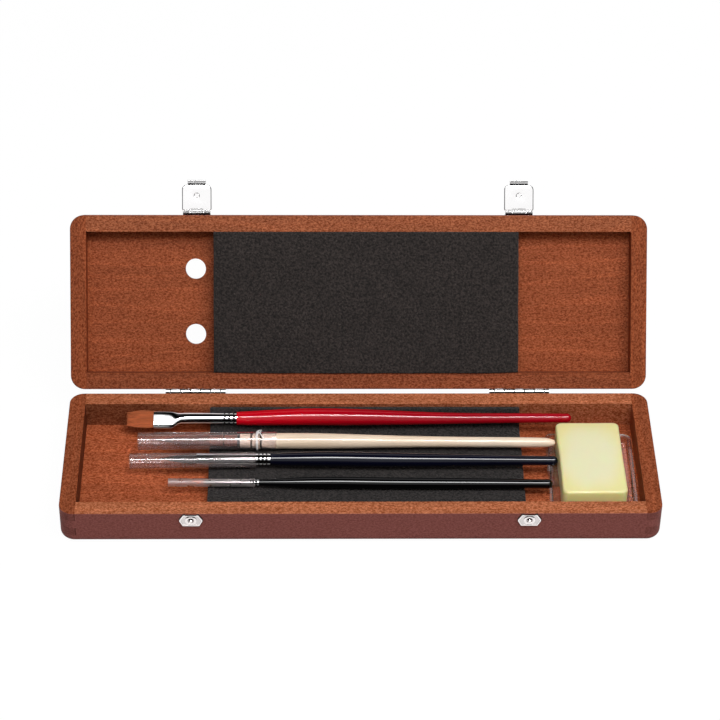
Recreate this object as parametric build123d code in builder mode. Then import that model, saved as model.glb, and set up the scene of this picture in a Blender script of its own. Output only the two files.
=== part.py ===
from build123d import *
from math import cos, radians, sin
import os

# Wooden brush box with a hinged lid, open as it stands, holding four artists' brushes and a soap.
# Frame: origin at the centre of the base's underside, +X right, +Y to the hinges, +Z up, in mm.
# The lid's own pieces are drawn where they lie with the lid shut, on planes that lid_pose opens.

# ---------------------------------------------------------------- driving dimensions: the case
case_w = 270.0  # along X
case_d = 81.5  # along Y
base_h = 17.7  # base, underside to rim
lid_h = 13.0  # lid, rim to top
side_t = 7.4  # left and right boards
long_t = 7.7  # front and back boards
floor_t = 4.6  # floor panel, glued under the base's frame
top_t = 3.8  # top panel, glued on the lid's frame
corner_r = 6.5  # upright corners
edge_r = 3.4  # rounded lower edge of the base and upper edge of the lid
rim_r = 0.4  # eased outer edge of both rims
finger_count = 3  # box-joint fingers in the height of each frame
rim_gap = 0.1  # between the two rims when the lid is shut
lid_angle = 126.5  # how far the lid stands open on its hinge stops
vent_r = 4.8  # air holes in the lid's top panel
vent_inset = 50.8  # air holes, from the left inner wall
vent_pitch = 30.8  # between the two air holes

# Foam pads
foam_t = 4.0  # pad on the floor of the base
foam_back_t = 2.0  # its part that turns up the back wall
foam_back_drop = 1.5  # top of that part, below the rim
foam_ramp_w = 5.6  # soft slope between the two, which bears the back brush
foam_ramp_h = 4.5
foam_bend_r = 2.5
foam_left = 58.1  # left end of the pad, from the left inner wall
foam_right = 52.7  # right end of the pad, from the right inner wall
foam_fit = 0.2  # beside every wall
lid_foam_t = 7.6
lid_foam_left = 59.6
lid_foam_right = 52.9

# Hinges
hinge_insets = (58.4, 59.7)  # middle of each hinge, from the left and right ends
hinge_len = 28.2
hinge_knuckles = 7  # both end knuckles are half as long as the others
hinge_off = 1.1  # pin, behind the back faces
barrel_r = 1.0
hinge_pin_r = 0.5
pin_fit = 0.03  # running clearance of every pin, on the radius
knuckle_gap = 0.15  # end play between neighbouring knuckles
leaf_t = 0.5
leaf_h = 9.0  # from the pin
swing_room = 0.2  # cut back around the other leaf's knuckles
leaf_nail_x = 9.6
leaf_nail_z = 5.5
stop_x = 3.4  # stop lugs on each leaf
stop_w = 3.0
stop_inner = 1.35  # where the stop faces begin and end, from the pin
stop_outer = 3.2
stop_fit = 0.03

# Nails
nail_r = 0.5
nail_len = 6.0
nail_head_r = 1.2
nail_head_h = 0.6
nail_head_round = 0.45
nail_fit = 0.02  # radial, so that a nail and its hole don't share a surface

# Latches: a plate nailed to the lid carries a hasp that presses over a stud on the base
latch_insets = (59.0, 59.9)  # middle of each latch and catch, from the left and right ends
latch_off = 1.0  # pin, in front of the lid's front face
latch_rise = 4.3  # pin, above the lid's rim
latch_barrel_r = 0.95
latch_pin_r = 0.45
latch_w = 12.8
latch_top = 4.9  # upper edge of the plate, above the pin
latch_nail_x = 4.2
latch_nail_z = 3.2
hasp_knuckle_w = 6.4
hasp_open = 90.0  # opening angle of the hasps at rest, where their heels meet the lid
hasp_w = 13.8
hasp_reach = 13.1  # end of the flat plate, from the pin
hasp_t = 0.5
hasp_end_r = 2.3
hasp_root_chamfer = 0.7
hasp_edge_r = 0.18
heel_fit = 0.07  # between the heel and the lid's front face
lip_w = 8.5
lip_step = 0.9  # finger lip: how far it steps outwards, along what length, and its end
lip_slope = 0.9
lip_len = 1.4
boss_r = 1.6
boss_h = 0.7
socket_depth = 0.85
socket_fit = 0.2

# Catches on the base's front face
stud_drop = 3.7  # stud, below the rim
catch_w = 10.7
catch_h = 7.0
catch_tip = 1.0  # short upright edge at each side
catch_flat_top = 7.0
catch_flat_bottom = 7.6
catch_t = 0.7
catch_border = 0.75
catch_pocket = 0.25
catch_bevel = 0.25
catch_notch_w = 4.9
catch_notch_h = 0.45
ring_outer_r = 2.55
ring_inner_r = 1.45
ring_pocket = 0.2
stud_r = 0.85
stud_h = 2.0  # tip, from the base's front face
prong_x = 3.9
prong_w = 0.9
prong_t = 0.5
prong_len = 4.0
prong_fit = 0.02

# Brushes: every end is measured from the soap's left side, past it being positive, every y
# from the back inner wall, and every room from the left inner wall to the hair or its guard.
# A handle's belly and waist are shares of its length to the shoulder.
loose_fit = 0.25  # between loose contents and what they lie on
tenon_fit = 0.03
handle_neck_slope = 0.045  # of a handle where it meets its ferrule
guard_wall = 0.3
guard_play = 0.12  # between a ferrule and the guard that hangs on it
wire_r = 0.2

flat_end = 7.8
flat_room = 19.65
flat_y = 7.02
flat_rise = 6.5  # handle's axis, above the foam
flat_turn = -0.45  # degrees about Z
flat_shoulder_r = 2.85
flat_belly = 0.72
flat_belly_r = 3.85
flat_waist = 0.21
flat_waist_r = 2.28
flat_tail_r = 1.77
flat_tenon_r = 2.1
flat_tenon_len = 9.0
flat_ferrule_len = 38.7
flat_ferrule_r = 2.4
flat_press_len = 8.5  # the pressed flat end of the ferrule
flat_blend_len = 4.2
flat_roll = 35.0  # degrees, front edge of the flat end down
flat_press_w = 7.4
flat_press_t = 1.9
flat_press_drop = 1.4  # the flat end sits a little in front of and below the axis
flat_slot_w = 6.8
flat_slot_t = 1.3
flat_slot_depth = 3.5
flat_hair_len = 12.3
flat_hair_w = 8.0
flat_hair_t = 2.0
flat_tip_w = 6.6
flat_tip_t = 0.5
crimp_r = 0.45
crimp_lift = 0.2  # centre of a crimping groove, outside the ferrule's surface
crimp_shares = (0.3, 0.7)  # grooves, as shares of the tenon's length

quill_end = -0.6
quill_room = 24.75
quill_y = 21.45
quill_turn = -0.6
quill_shoulder_r = 3.2
quill_belly = 0.727
quill_belly_r = 3.75
quill_waist = 0.27
quill_waist_r = 2.35
quill_tail_r = 2.1
quill_nose_len = 5.5
quill_nose_r = 0.5
quill_tenon_r = 2.35
quill_tenon_len = 7.6
quill_sleeve_r = 2.75
quill_sleeve_wall = 0.35
quill_sleeve_len = 14.2
quill_hair_r = 2.45
quill_hair_len = 24.9
quill_hair_root = 5.0
quill_ring_w = 1.4
quill_ring_t = 0.3
quill_wire = 7.5  # from the shoulder, on the sleeve
quill_bands = (5.2, 9.5)  # behind the shoulder, on the handle
quill_band_w = 1.1
quill_band_t = 0.3
quill_band_seat_r = 3.1
quill_guard_r = 4.1
quill_guard_len = 64.4
quill_guard_lap = 16.7  # over the handle, from its shoulder
thread_r = 0.2
thread_at = 8.0  # behind the shoulder
knot_r = 0.75

round_end = -0.3
round_room = 22.15
round_y = 34.54
round_turn = -0.5
round_shoulder_r = 2.75
round_belly = 0.79
round_belly_r = 3.45
round_waist = 0.193
round_waist_r = 2.45
round_tail_r = 2.15
round_tenon_r = 2.1
round_tenon_len = 9.0
round_ferrule_len = 33.8
round_ferrule_r = 2.45
round_mouth_r = 2.05
round_hair_len = 17.0
round_hair_r = 2.2
round_guard_r = 3.5
round_guard_len = 57.7
round_guard_start = 6.8  # from the shoulder, on the ferrule

fine_end = -3.6
fine_room = 40.25
fine_y = 48.21
fine_turn = -0.5
fine_shoulder_r = 1.4
fine_belly = 0.78
fine_belly_r = 2.6
fine_waist = 0.225
fine_waist_r = 2.35
fine_tail_r = 2.15
fine_tenon_r = 0.85
fine_tenon_len = 7.0
fine_ferrule_len = 25.9
fine_ferrule_r = 1.15
fine_mouth_r = 0.85
fine_hair_len = 5.4
fine_hair_r = 0.85
fine_guard_r = 1.8
fine_guard_len = 39.4
fine_guard_start = 2.0

# Soap and its clear tray: gaps are from the inner walls, rooms between the soap and the tray
soap_h = 12.0
soap_corner_r = 3.6
soap_edge_r = 1.6
soap_turn = 0.5
soap_left_room = 4.85
soap_right_room = 5.45
soap_front_room = 2.75
soap_back_room = 0.9
tray_w = 39.6
tray_h = 4.2
tray_t = 0.4
tray_corner_r = 2.0
tray_turn = -0.8
tray_right_gap = 1.8
tray_front_gap = 3.55
tray_back_gap = 11.55

# ---------------------------------------------------------------- places worked out from them
front_y = -case_d / 2
back_y = case_d / 2
inner_left = -case_w / 2 + side_t
inner_right = case_w / 2 - side_t
inner_front = front_y + long_t
inner_back = back_y - long_t
lid_rim_z = base_h + rim_gap
lid_frame_h = lid_h - top_t
hinge_y = back_y + hinge_off
hinge_z = base_h + rim_gap / 2
latch_y = front_y - latch_off
latch_z = lid_rim_z + latch_rise
catch_z = base_h - stud_drop
hinge_xs = (-case_w / 2 + hinge_insets[0], case_w / 2 - hinge_insets[1])
latch_xs = (-case_w / 2 + latch_insets[0], case_w / 2 - latch_insets[1])
foam_top = floor_t + foam_t
tray_x = inner_right - tray_right_gap - tray_w / 2
tray_y = (inner_front + tray_front_gap + inner_back - tray_back_gap) / 2
tray_d = inner_back - tray_back_gap - inner_front - tray_front_gap
soap_w = tray_w - soap_left_room - soap_right_room
soap_d = tray_d - soap_front_room - soap_back_room
soap_left = tray_x - tray_w / 2 + soap_left_room


def turn_about_x(y, z, angle):
    """A pose that turns a piece about the line through (y, z) along X."""
    return Location((0, y, z)) * Location((0, 0, 0), (angle, 0, 0)) * Location((0, -y, -z))


def posed(pose, plane):
    """The plane where the pose carries it."""
    return Plane(pose * plane.location)


base_pose = Location()
lid_pose = turn_about_x(hinge_y, hinge_z, -lid_angle)
hasp_pose = lid_pose * turn_about_x(latch_y, latch_z, -hasp_open)


def front_plane(x, z, pose=base_pose):
    """A plane on the front faces, looking out of the case."""
    return posed(pose, Plane(origin=(x, front_y, z), x_dir=(1, 0, 0), z_dir=(0, -1, 0)))


def back_plane(x, z, pose=base_pose):
    """A plane on the back faces, looking out of the case."""
    return posed(pose, Plane(origin=(x, back_y, z), x_dir=(-1, 0, 0), z_dir=(0, 1, 0)))


def section_plane(x, pose=base_pose):
    """A plane across the case, whose sketches are drawn in Y and Z."""
    return posed(pose, Plane.YZ.offset(x))


def level_plane(z, pose=base_pose):
    """A plane level with the rims."""
    return posed(pose, Plane.XY.offset(z))


def save(piece, name):
    """Label a finished piece and write it as the node of that name."""
    piece.part.label = name
    export_step(piece.part, f"parts/{name}.step")


os.makedirs("parts", exist_ok=True)


# ---------------------------------------------------------------- wooden frames and panels
def finger_runs_through(step, rim_on_top):
    """Whether the side boards run to the corner in one finger, which they do at the rim."""
    from_rim = finger_count - 1 - step if rim_on_top else step
    return from_rim % 2 == 0


def long_board(pose, low_z, height, side, rim_on_top, nail_planes=(), prong_planes=()):
    """Front (side -1) or back (side 1) board of a frame, drilled for nails and prongs."""
    finger_h = height / finger_count
    level = level_plane(0, pose)
    rim_axis = Axis((0, 0, 0), level.z_dir * (1 if rim_on_top else -1))
    out_axis = Axis((0, 0, 0), level.y_dir * side)
    with BuildPart() as board:
        for step in range(finger_count):
            inset = side_t if finger_runs_through(step, rim_on_top) else 0
            with BuildSketch(level_plane(low_z + step * finger_h, pose)):
                RectangleRounded(case_w, case_d, corner_r)
                with Locations((0, side * (case_d - long_t) / 2)):
                    Rectangle(case_w - 2 * inset, long_t, mode=Mode.INTERSECT)
            extrude(amount=finger_h)
        rim_face = board.faces().sort_by(rim_axis)[-1]
        fillet(rim_face.edges().sort_by(out_axis)[-1], rim_r)
        for nail_plane in nail_planes:
            with Locations(nail_plane):
                Hole(nail_r + nail_fit, nail_len + nail_fit)
        for prong_plane in prong_planes:
            with BuildSketch(prong_plane):
                Rectangle(prong_w + 2 * prong_fit, prong_t + 2 * prong_fit)
            extrude(amount=-(prong_len + prong_fit), mode=Mode.SUBTRACT)
    return board


def side_board(pose, low_z, height, side, rim_on_top):
    """Left (side -1) or right (side 1) board of a frame, with its fingers."""
    finger_h = height / finger_count
    rim_axis = Axis((0, 0, 0), level_plane(0, pose).z_dir * (1 if rim_on_top else -1))
    out_axis = Axis((0, 0, 0), (side, 0, 0))
    with BuildPart() as board:
        for step in range(finger_count):
            inset = 0 if finger_runs_through(step, rim_on_top) else long_t
            with BuildSketch(level_plane(low_z + step * finger_h, pose)):
                RectangleRounded(case_w, case_d, corner_r)
                with Locations((side * (case_w - side_t) / 2, 0)):
                    Rectangle(side_t, case_d - 2 * inset, mode=Mode.INTERSECT)
            extrude(amount=finger_h)
        rim_face = board.faces().sort_by(rim_axis)[-1]
        fillet(rim_face.edges().sort_by(out_axis)[1:], rim_r)
    return board


def nail_spots(plane_at, pose, middles, step_x, z):
    """Planes of the nails or prongs of both pieces of a kind, at step_x to each side."""
    spots = []
    for middle in middles:
        for step in (-step_x, step_x):
            spots.append(plane_at(middle + step, z, pose))
    return spots


base_hinge_nails = nail_spots(back_plane, base_pose, hinge_xs, leaf_nail_x, hinge_z - leaf_nail_z)
lid_hinge_nails = nail_spots(back_plane, lid_pose, hinge_xs, leaf_nail_x, hinge_z + leaf_nail_z)
latch_nail_spots = nail_spots(front_plane, lid_pose, latch_xs, latch_nail_x, latch_z + latch_nail_z)


prong_spots = nail_spots(front_plane, base_pose, latch_xs, prong_x, catch_z)

base_frame_h = base_h - floor_t
base_front_wall = long_board(base_pose, floor_t, base_frame_h, -1, True, prong_planes=prong_spots)
save(base_front_wall, "base_front_wall")
base_back_wall = long_board(base_pose, floor_t, base_frame_h, 1, True, base_hinge_nails)
save(base_back_wall, "base_back_wall")
lid_front_wall = long_board(lid_pose, lid_rim_z, lid_frame_h, -1, False, latch_nail_spots)
save(lid_front_wall, "lid_front_wall")
lid_back_wall = long_board(lid_pose, lid_rim_z, lid_frame_h, 1, False, lid_hinge_nails)
save(lid_back_wall, "lid_back_wall")

for side_name, side in (("left", -1), ("right", 1)):
    base_side_wall = side_board(base_pose, floor_t, base_frame_h, side, True)
    save(base_side_wall, f"base_{side_name}_wall")
    lid_side_wall = side_board(lid_pose, lid_rim_z, lid_frame_h, side, False)
    save(lid_side_wall, f"lid_{side_name}_wall")

with BuildPart() as base_floor_panel:
    with BuildSketch():
        RectangleRounded(case_w, case_d, corner_r)
    extrude(amount=floor_t)
    fillet(base_floor_panel.faces().sort_by(Axis.Z)[0].edges(), edge_r)
save(base_floor_panel, "base_floor_panel")

lid_up = Axis((0, 0, 0), level_plane(0, lid_pose).z_dir)
vent_x = inner_left + vent_inset
with BuildPart() as lid_top_panel:
    with BuildSketch(level_plane(lid_rim_z + lid_frame_h, lid_pose)):
        RectangleRounded(case_w, case_d, corner_r)
    extrude(amount=top_t)
    fillet(lid_top_panel.faces().sort_by(lid_up)[-1].edges(), edge_r)
    with BuildSketch(level_plane(lid_rim_z + lid_frame_h, lid_pose)):
        with Locations((vent_x, -vent_pitch / 2), (vent_x, vent_pitch / 2)):
            Circle(vent_r)
    extrude(amount=top_t, mode=Mode.SUBTRACT)
save(lid_top_panel, "lid_top_panel")

# ---------------------------------------------------------------- foam pads
foam_x0 = inner_left + foam_left
foam_x1 = inner_right - foam_right
foam_back = inner_back - foam_fit
with BuildPart() as base_foam_pad:
    with BuildSketch(section_plane(foam_x0)):
        with BuildLine():
            FilletPolyline(
                (foam_back, floor_t),
                (foam_back, base_h - foam_back_drop),
                (foam_back - foam_back_t, base_h - foam_back_drop),
                (foam_back - foam_back_t, foam_top + foam_ramp_h),
                (foam_back - foam_back_t - foam_ramp_w, foam_top),
                (inner_front + foam_fit, foam_top),
                (inner_front + foam_fit, floor_t),
                radius=(0, 0, 0, foam_bend_r, foam_bend_r, 0, 0),
                close=True,
            )
        make_face()
    extrude(amount=foam_x1 - foam_x0)
save(base_foam_pad, "base_foam_pad")

lid_foam_x0 = inner_left + lid_foam_left
lid_foam_x1 = inner_right - lid_foam_right
with BuildPart() as lid_foam_pad:
    with BuildSketch(level_plane(lid_rim_z + lid_frame_h - lid_foam_t, lid_pose)):
        with Locations(((lid_foam_x0 + lid_foam_x1) / 2, 0)):
            Rectangle(lid_foam_x1 - lid_foam_x0, inner_back - inner_front - 2 * foam_fit)
    extrude(amount=lid_foam_t)
save(lid_foam_pad, "lid_foam_pad")


# ---------------------------------------------------------------- hinges
def knuckle_spans(first):
    """X spans of every second knuckle of a hinge, from the middle of the hinge."""
    pitch = hinge_len / (hinge_knuckles - 1)
    spans = []
    for index in range(first, hinge_knuckles, 2):
        low = max((index - 0.5) * pitch - hinge_len / 2, -hinge_len / 2)
        high = min((index + 0.5) * pitch - hinge_len / 2, hinge_len / 2)
        spans.append((low + knuckle_gap / 2, high - knuckle_gap / 2))
    return spans


def stop_outline(up):
    """Section of a stop lug, from the pin: its face lies on the middle of the open angle."""
    half = radians((180 - lid_angle) / 2)
    leaf_face = leaf_t - hinge_off
    points = [(leaf_face, -stop_inner - swing_room)]
    for reach in (stop_inner, stop_outer):
        y = reach * sin(half) - stop_fit * cos(half)
        z = -reach * cos(half) - stop_fit * sin(half)
        points.append((y, z))
    points.append((leaf_face, -stop_outer - leaf_t))
    return [(hinge_y + y, hinge_z - up * z) for y, z in points]


def hinge_leaf(pose, middle, up, first):
    """One leaf: up is 1 on the lid and -1 on the base, first is its first knuckle."""
    cut_back = barrel_r + swing_room
    nail_z = hinge_z + up * leaf_nail_z
    spots = [back_plane(middle + step, nail_z, pose) for step in (-leaf_nail_x, leaf_nail_x)]
    with BuildPart() as leaf:
        with BuildSketch(back_plane(middle, hinge_z + up * (cut_back + leaf_h) / 2, pose)):
            Rectangle(hinge_len, leaf_h - cut_back)
        extrude(amount=leaf_t)
        for low, high in knuckle_spans(first):
            with BuildSketch(section_plane(middle + low, pose)):
                with Locations((hinge_y, hinge_z)):
                    Circle(barrel_r)
                with Locations((back_y + leaf_t / 2, hinge_z + up * cut_back / 2)):
                    Rectangle(leaf_t, cut_back)
                with Locations((hinge_y, hinge_z)):
                    Circle(hinge_pin_r + pin_fit, mode=Mode.SUBTRACT)
            extrude(amount=high - low)
        for step in (-stop_x, stop_x):
            with BuildSketch(section_plane(middle + step - stop_w / 2, pose)):
                Polygon(*stop_outline(up), align=None)
            extrude(amount=stop_w)
        with Locations(*[spot.offset(leaf_t) for spot in spots]):
            Hole(nail_r + nail_fit, leaf_t)
    return leaf


def hinge_pin(middle, length, y, z, radius, pose):
    """A pin along X, centred on middle."""
    with BuildPart() as pin:
        with BuildSketch(section_plane(middle - length / 2, pose)):
            with Locations((y, z)):
                Circle(radius)
        extrude(amount=length)
    return pin


def nails(spots, seat_t):
    """A group of nails whose heads sit on a plate of thickness seat_t."""
    with BuildPart() as group:
        for spot in spots:
            with BuildSketch(spot.offset(-nail_len)):
                Circle(nail_r)
            extrude(amount=nail_len + seat_t)
            with BuildSketch(spot.offset(seat_t)):
                Circle(nail_head_r)
            extrude(amount=nail_head_h)
            head_edges = group.edges(Select.LAST).sort_by(Axis(spot.origin, spot.z_dir))
            fillet(head_edges[-1], nail_head_round)
    return group


for side_name, middle in zip(("left", "right"), hinge_xs):
    hinge_base_leaf = hinge_leaf(base_pose, middle, -1, 0)
    save(hinge_base_leaf, f"hinge_{side_name}_base_leaf")
    hinge_lid_leaf = hinge_leaf(lid_pose, middle, 1, 1)
    save(hinge_lid_leaf, f"hinge_{side_name}_lid_leaf")
    pin = hinge_pin(middle, hinge_len, hinge_y, hinge_z, hinge_pin_r, base_pose)
    save(pin, f"hinge_{side_name}_pin")

save(nails(base_hinge_nails, leaf_t), "hinge_base_nails")
save(nails(lid_hinge_nails, leaf_t), "hinge_lid_nails")


# ---------------------------------------------------------------- latches and catches
def latch_plate(middle):
    """Plate on the lid's front face, with a knuckle at each side of the hasp's."""
    heel_swing_r = (latch_barrel_r**2 + (latch_off - heel_fit) ** 2) ** 0.5
    cut_back = heel_swing_r + knuckle_gap
    knuckle_w = (latch_w - hasp_knuckle_w) / 2 - knuckle_gap
    with BuildPart() as plate:
        with BuildSketch(front_plane(middle, latch_z + (cut_back + latch_top) / 2, lid_pose)):
            Rectangle(latch_w, latch_top - cut_back)
        extrude(amount=hasp_t)
        for low in (-latch_w / 2, latch_w / 2 - knuckle_w):
            with BuildSketch(section_plane(middle + low, lid_pose)):
                with Locations((latch_y, latch_z)):
                    Circle(latch_barrel_r)
                with Locations((front_y - hasp_t / 2, latch_z + cut_back / 2)):
                    Rectangle(hasp_t, cut_back)
                with Locations((latch_y, latch_z)):
                    Circle(latch_pin_r + pin_fit, mode=Mode.SUBTRACT)
            extrude(amount=knuckle_w)
        nail_z = latch_z + latch_nail_z
        spots = [front_plane(middle + step, nail_z, lid_pose) for step in (-latch_nail_x, latch_nail_x)]
        with Locations(*[spot.offset(hasp_t) for spot in spots]):
            Hole(nail_r + nail_fit, hasp_t)
    return plate


def hasp(middle):
    """Swinging hasp: knuckle, flat plate, finger lip, heel, and a boss hollowed for the stud."""
    cut_back = latch_barrel_r + knuckle_gap
    outer = latch_y - latch_barrel_r
    inner = outer + hasp_t
    end_z = latch_z - hasp_reach
    stud_z = catch_z - latch_z
    face = posed(hasp_pose, Plane(origin=(middle, inner, latch_z), x_dir=(1, 0, 0), z_dir=(0, -1, 0)))
    with BuildPart() as piece:
        with BuildSketch(face) as outline:
            with Locations((0, -(cut_back + hasp_reach) / 2)):
                Rectangle(hasp_w, hasp_reach - cut_back)
            chamfer(outline.vertices().group_by(Axis.Y)[-1], hasp_root_chamfer)
            fillet(outline.vertices().group_by(Axis.Y)[0], hasp_end_r)
        extrude(amount=hasp_t)
        fillet(piece.faces().sort_by(SortBy.AREA)[-2:].edges(), hasp_edge_r)
        with BuildSketch(section_plane(middle - hasp_knuckle_w / 2, hasp_pose)):
            with Locations((latch_y, latch_z)):
                Circle(latch_barrel_r)
            Polygon(
                (outer, latch_z + latch_off - heel_fit),
                (inner, latch_z + latch_off - heel_fit),
                (inner, latch_z - cut_back - hasp_t),
                (outer, latch_z - cut_back - hasp_t),
                align=None,
            )
            with Locations((latch_y, latch_z)):
                Circle(latch_pin_r + pin_fit, mode=Mode.SUBTRACT)
        extrude(amount=hasp_knuckle_w)
        with BuildSketch(section_plane(middle - lip_w / 2, hasp_pose)):
            Polygon(
                (inner, end_z + hasp_t),
                (inner, end_z),
                (inner - lip_step, end_z - lip_slope),
                (inner - lip_step, end_z - lip_slope - lip_len),
                (outer - lip_step, end_z - lip_slope - lip_len),
                (outer - lip_step, end_z - lip_slope),
                (outer, end_z),
                (outer, end_z + hasp_t),
                align=None,
            )
        extrude(amount=lip_w)
        with BuildSketch(face.offset(hasp_t)):
            with Locations((0, stud_z)):
                Circle(boss_r)
        extrude(amount=boss_h, taper=25)
        with BuildSketch(face):
            with Locations((0, stud_z)):
                Circle(stud_r + socket_fit)
        extrude(amount=socket_depth, mode=Mode.SUBTRACT)
    return piece


def catch(middle):
    """Pressed plate on the base, with a bevelled border, a ring, a stud and two prongs behind."""
    half_w = catch_w / 2
    half_h = catch_h / 2
    face = front_plane(middle, catch_z)
    right_half = [
        (catch_flat_top / 2, half_h),
        (half_w, catch_tip / 2),
        (half_w, -catch_tip / 2),
        (catch_flat_bottom / 2, -half_h),
    ]
    left_half = [(-x, y) for x, y in reversed(right_half)]
    with BuildPart() as piece:
        with BuildSketch(face):
            Polygon(*right_half, *left_half, align=None)
        extrude(amount=catch_t)
        chamfer(piece.faces().sort_by(Axis.Y)[0].edges(), catch_bevel)
        with BuildSketch(face.offset(catch_t)):
            Polygon(*right_half, *left_half, align=None)
            offset(amount=-catch_border, kind=Kind.INTERSECTION, mode=Mode.REPLACE)
            Circle(ring_outer_r, mode=Mode.SUBTRACT)
        extrude(amount=-catch_pocket, mode=Mode.SUBTRACT)
        with BuildSketch(face.offset(catch_t)):
            with Locations((0, half_h)):
                Rectangle(catch_notch_w, 2 * catch_notch_h)
        extrude(amount=-catch_t, mode=Mode.SUBTRACT)
        with BuildSketch(face.offset(catch_t)):
            Circle(ring_inner_r)
        extrude(amount=-catch_pocket - ring_pocket, mode=Mode.SUBTRACT)
        with BuildSketch(face):
            Circle(stud_r)
        extrude(amount=stud_h - stud_r)
        with BuildSketch(Plane(face.origin, x_dir=(1, 0, 0), z_dir=(0, 0, 1))):
            with Locations((0, -(stud_h - stud_r))):
                Circle(stud_r)
                Rectangle(2 * stud_r, stud_r, align=(Align.CENTER, Align.MIN), mode=Mode.SUBTRACT)
                Rectangle(stud_r, 2 * stud_r, align=(Align.MAX, Align.CENTER), mode=Mode.SUBTRACT)
        revolve(axis=Axis(face.origin, (0, -1, 0)))
        with BuildSketch(face):
            with Locations((-prong_x, 0), (prong_x, 0)):
                Rectangle(prong_w, prong_t)
        extrude(amount=-prong_len)
    return piece


for side_name, middle in zip(("left", "right"), latch_xs):
    save(latch_plate(middle), f"latch_{side_name}_plate")
    save(hasp(middle), f"latch_{side_name}_hasp")
    latch_pin = hinge_pin(middle, latch_w, latch_y, latch_z, latch_pin_r, lid_pose)
    save(latch_pin, f"latch_{side_name}_pin")
    save(catch(middle), f"catch_{side_name}")

save(nails(latch_nail_spots, hasp_t), "latch_nails")


# ---------------------------------------------------------------- brushes
def brush_plane(end_x, y, z, turn):
    """Plane along a brush: its origin at the handle's end, its X towards the hair."""
    return Plane(Location((end_x, y, z), (0, 0, 180 + turn)))


def cross_plane(along, distance):
    """A plane across a brush, at a distance from the handle's end, looking at the hair."""
    return Plane(
        origin=along.origin + along.x_dir * distance,
        x_dir=along.y_dir,
        z_dir=along.x_dir,
    )


def turned_handle(along, shoulder, belly, waist, tail_r, tenon):
    """A turned handle with a round tail, and a tenon, given by its length and radius.

    The shoulder is a distance from the handle's end and a radius, the belly and the waist
    are a share of that distance and a radius.
    """
    shoulder_at, shoulder_r = shoulder
    belly_at = (belly[0] * shoulder_at, belly[1])
    waist_at = (waist[0] * shoulder_at, waist[1])
    tenon_len, tenon_r = tenon
    with BuildPart() as handle:
        with BuildSketch(along):
            with BuildLine():
                CenterArc((tail_r, 0), tail_r, 90, 90)
                Spline((tail_r, tail_r), waist_at, belly_at, tangents=[(1, 0), (1, 0)])
                Spline(belly_at, shoulder, tangents=[(1, 0), (1, -handle_neck_slope)])
                Polyline(
                    (shoulder_at, shoulder_r),
                    (shoulder_at, tenon_r),
                    (shoulder_at + tenon_len, tenon_r),
                    (shoulder_at + tenon_len, 0),
                    (0, 0),
                )
            make_face()
        revolve(axis=Axis(along.origin, along.x_dir))
    return handle


def tube(along, near, far, outer_r, inner_r):
    """A plain tube between two distances from the handle's end."""
    with BuildPart() as piece:
        with BuildSketch(cross_plane(along, near)):
            Circle(outer_r)
            Circle(inner_r, mode=Mode.SUBTRACT)
        extrude(amount=far - near)
    return piece


def round_ferrule(along, shoulder_at, length, back_r, mouth_r, tenon, hair_len, hair_r):
    """A tapered ferrule, bored for the handle's tenon and the hair, with two crimps."""
    tenon_len, tenon_r = tenon
    axis = Axis(along.origin, along.x_dir)
    with BuildPart() as ferrule:
        with BuildSketch(along):
            Polygon(
                (shoulder_at, 0),
                (shoulder_at, back_r),
                (shoulder_at + tenon_len, back_r),
                (shoulder_at + length, mouth_r),
                (shoulder_at + length, 0),
                align=None,
            )
            for share in crimp_shares:
                with Locations((shoulder_at + share * tenon_len, back_r + crimp_lift)):
                    Circle(crimp_r * back_r / round_ferrule_r, mode=Mode.SUBTRACT)
            with Locations((shoulder_at, 0)):
                Rectangle(
                    tenon_len + tenon_fit,
                    tenon_r + tenon_fit,
                    align=(Align.MIN, Align.MIN),
                    mode=Mode.SUBTRACT,
                )
            with Locations((shoulder_at + length, 0)):
                Rectangle(
                    hair_len + tenon_fit,
                    hair_r + tenon_fit,
                    align=(Align.MAX, Align.MIN),
                    mode=Mode.SUBTRACT,
                )
        revolve(axis=axis)
    return ferrule


def pointed_hair(along, root_at, root_len, root_r, belly_r, length):
    """A round head of hair that swells past its root and comes to a point."""
    with BuildPart() as hair:
        with BuildSketch(along):
            with BuildLine():
                Polyline(
                    (root_at, root_r),
                    (root_at - root_len, root_r),
                    (root_at - root_len, 0),
                    (root_at + length, 0),
                )
                Spline(
                    (root_at, root_r),
                    (root_at + 0.3 * length, belly_r),
                    (root_at + 0.7 * length, 0.55 * belly_r),
                    (root_at + length, 0),
                )
            make_face()
        revolve(axis=Axis(along.origin, along.x_dir))
    return hair


# Flat brush: it lies on the bend of the foam, close to the back wall
flat_shoulder = soap_left + flat_end - inner_left - flat_room - flat_hair_len - flat_ferrule_len
flat_along = brush_plane(soap_left + flat_end, inner_back - flat_y, foam_top + flat_rise, flat_turn)
flat_brush_handle = turned_handle(
    flat_along,
    (flat_shoulder, flat_shoulder_r),
    (flat_belly, flat_belly_r),
    (flat_waist, flat_waist_r),
    flat_tail_r,
    (flat_tenon_len, flat_tenon_r),
)
save(flat_brush_handle, "flat_brush_handle")

flat_mouth = flat_shoulder + flat_ferrule_len
flat_press_from = flat_mouth - flat_press_len
flat_blend_from = flat_press_from - flat_blend_len
flat_axis = Axis(flat_along.origin, flat_along.x_dir)


def flat_section(distance):
    """A plane across the flat brush, rolled with its flat end."""
    lean = radians(flat_roll)
    return Plane(
        origin=flat_along.origin + flat_along.x_dir * distance,
        x_dir=flat_along.y_dir * cos(lean) - flat_along.z_dir * sin(lean),
        z_dir=flat_along.x_dir,
    )


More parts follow.
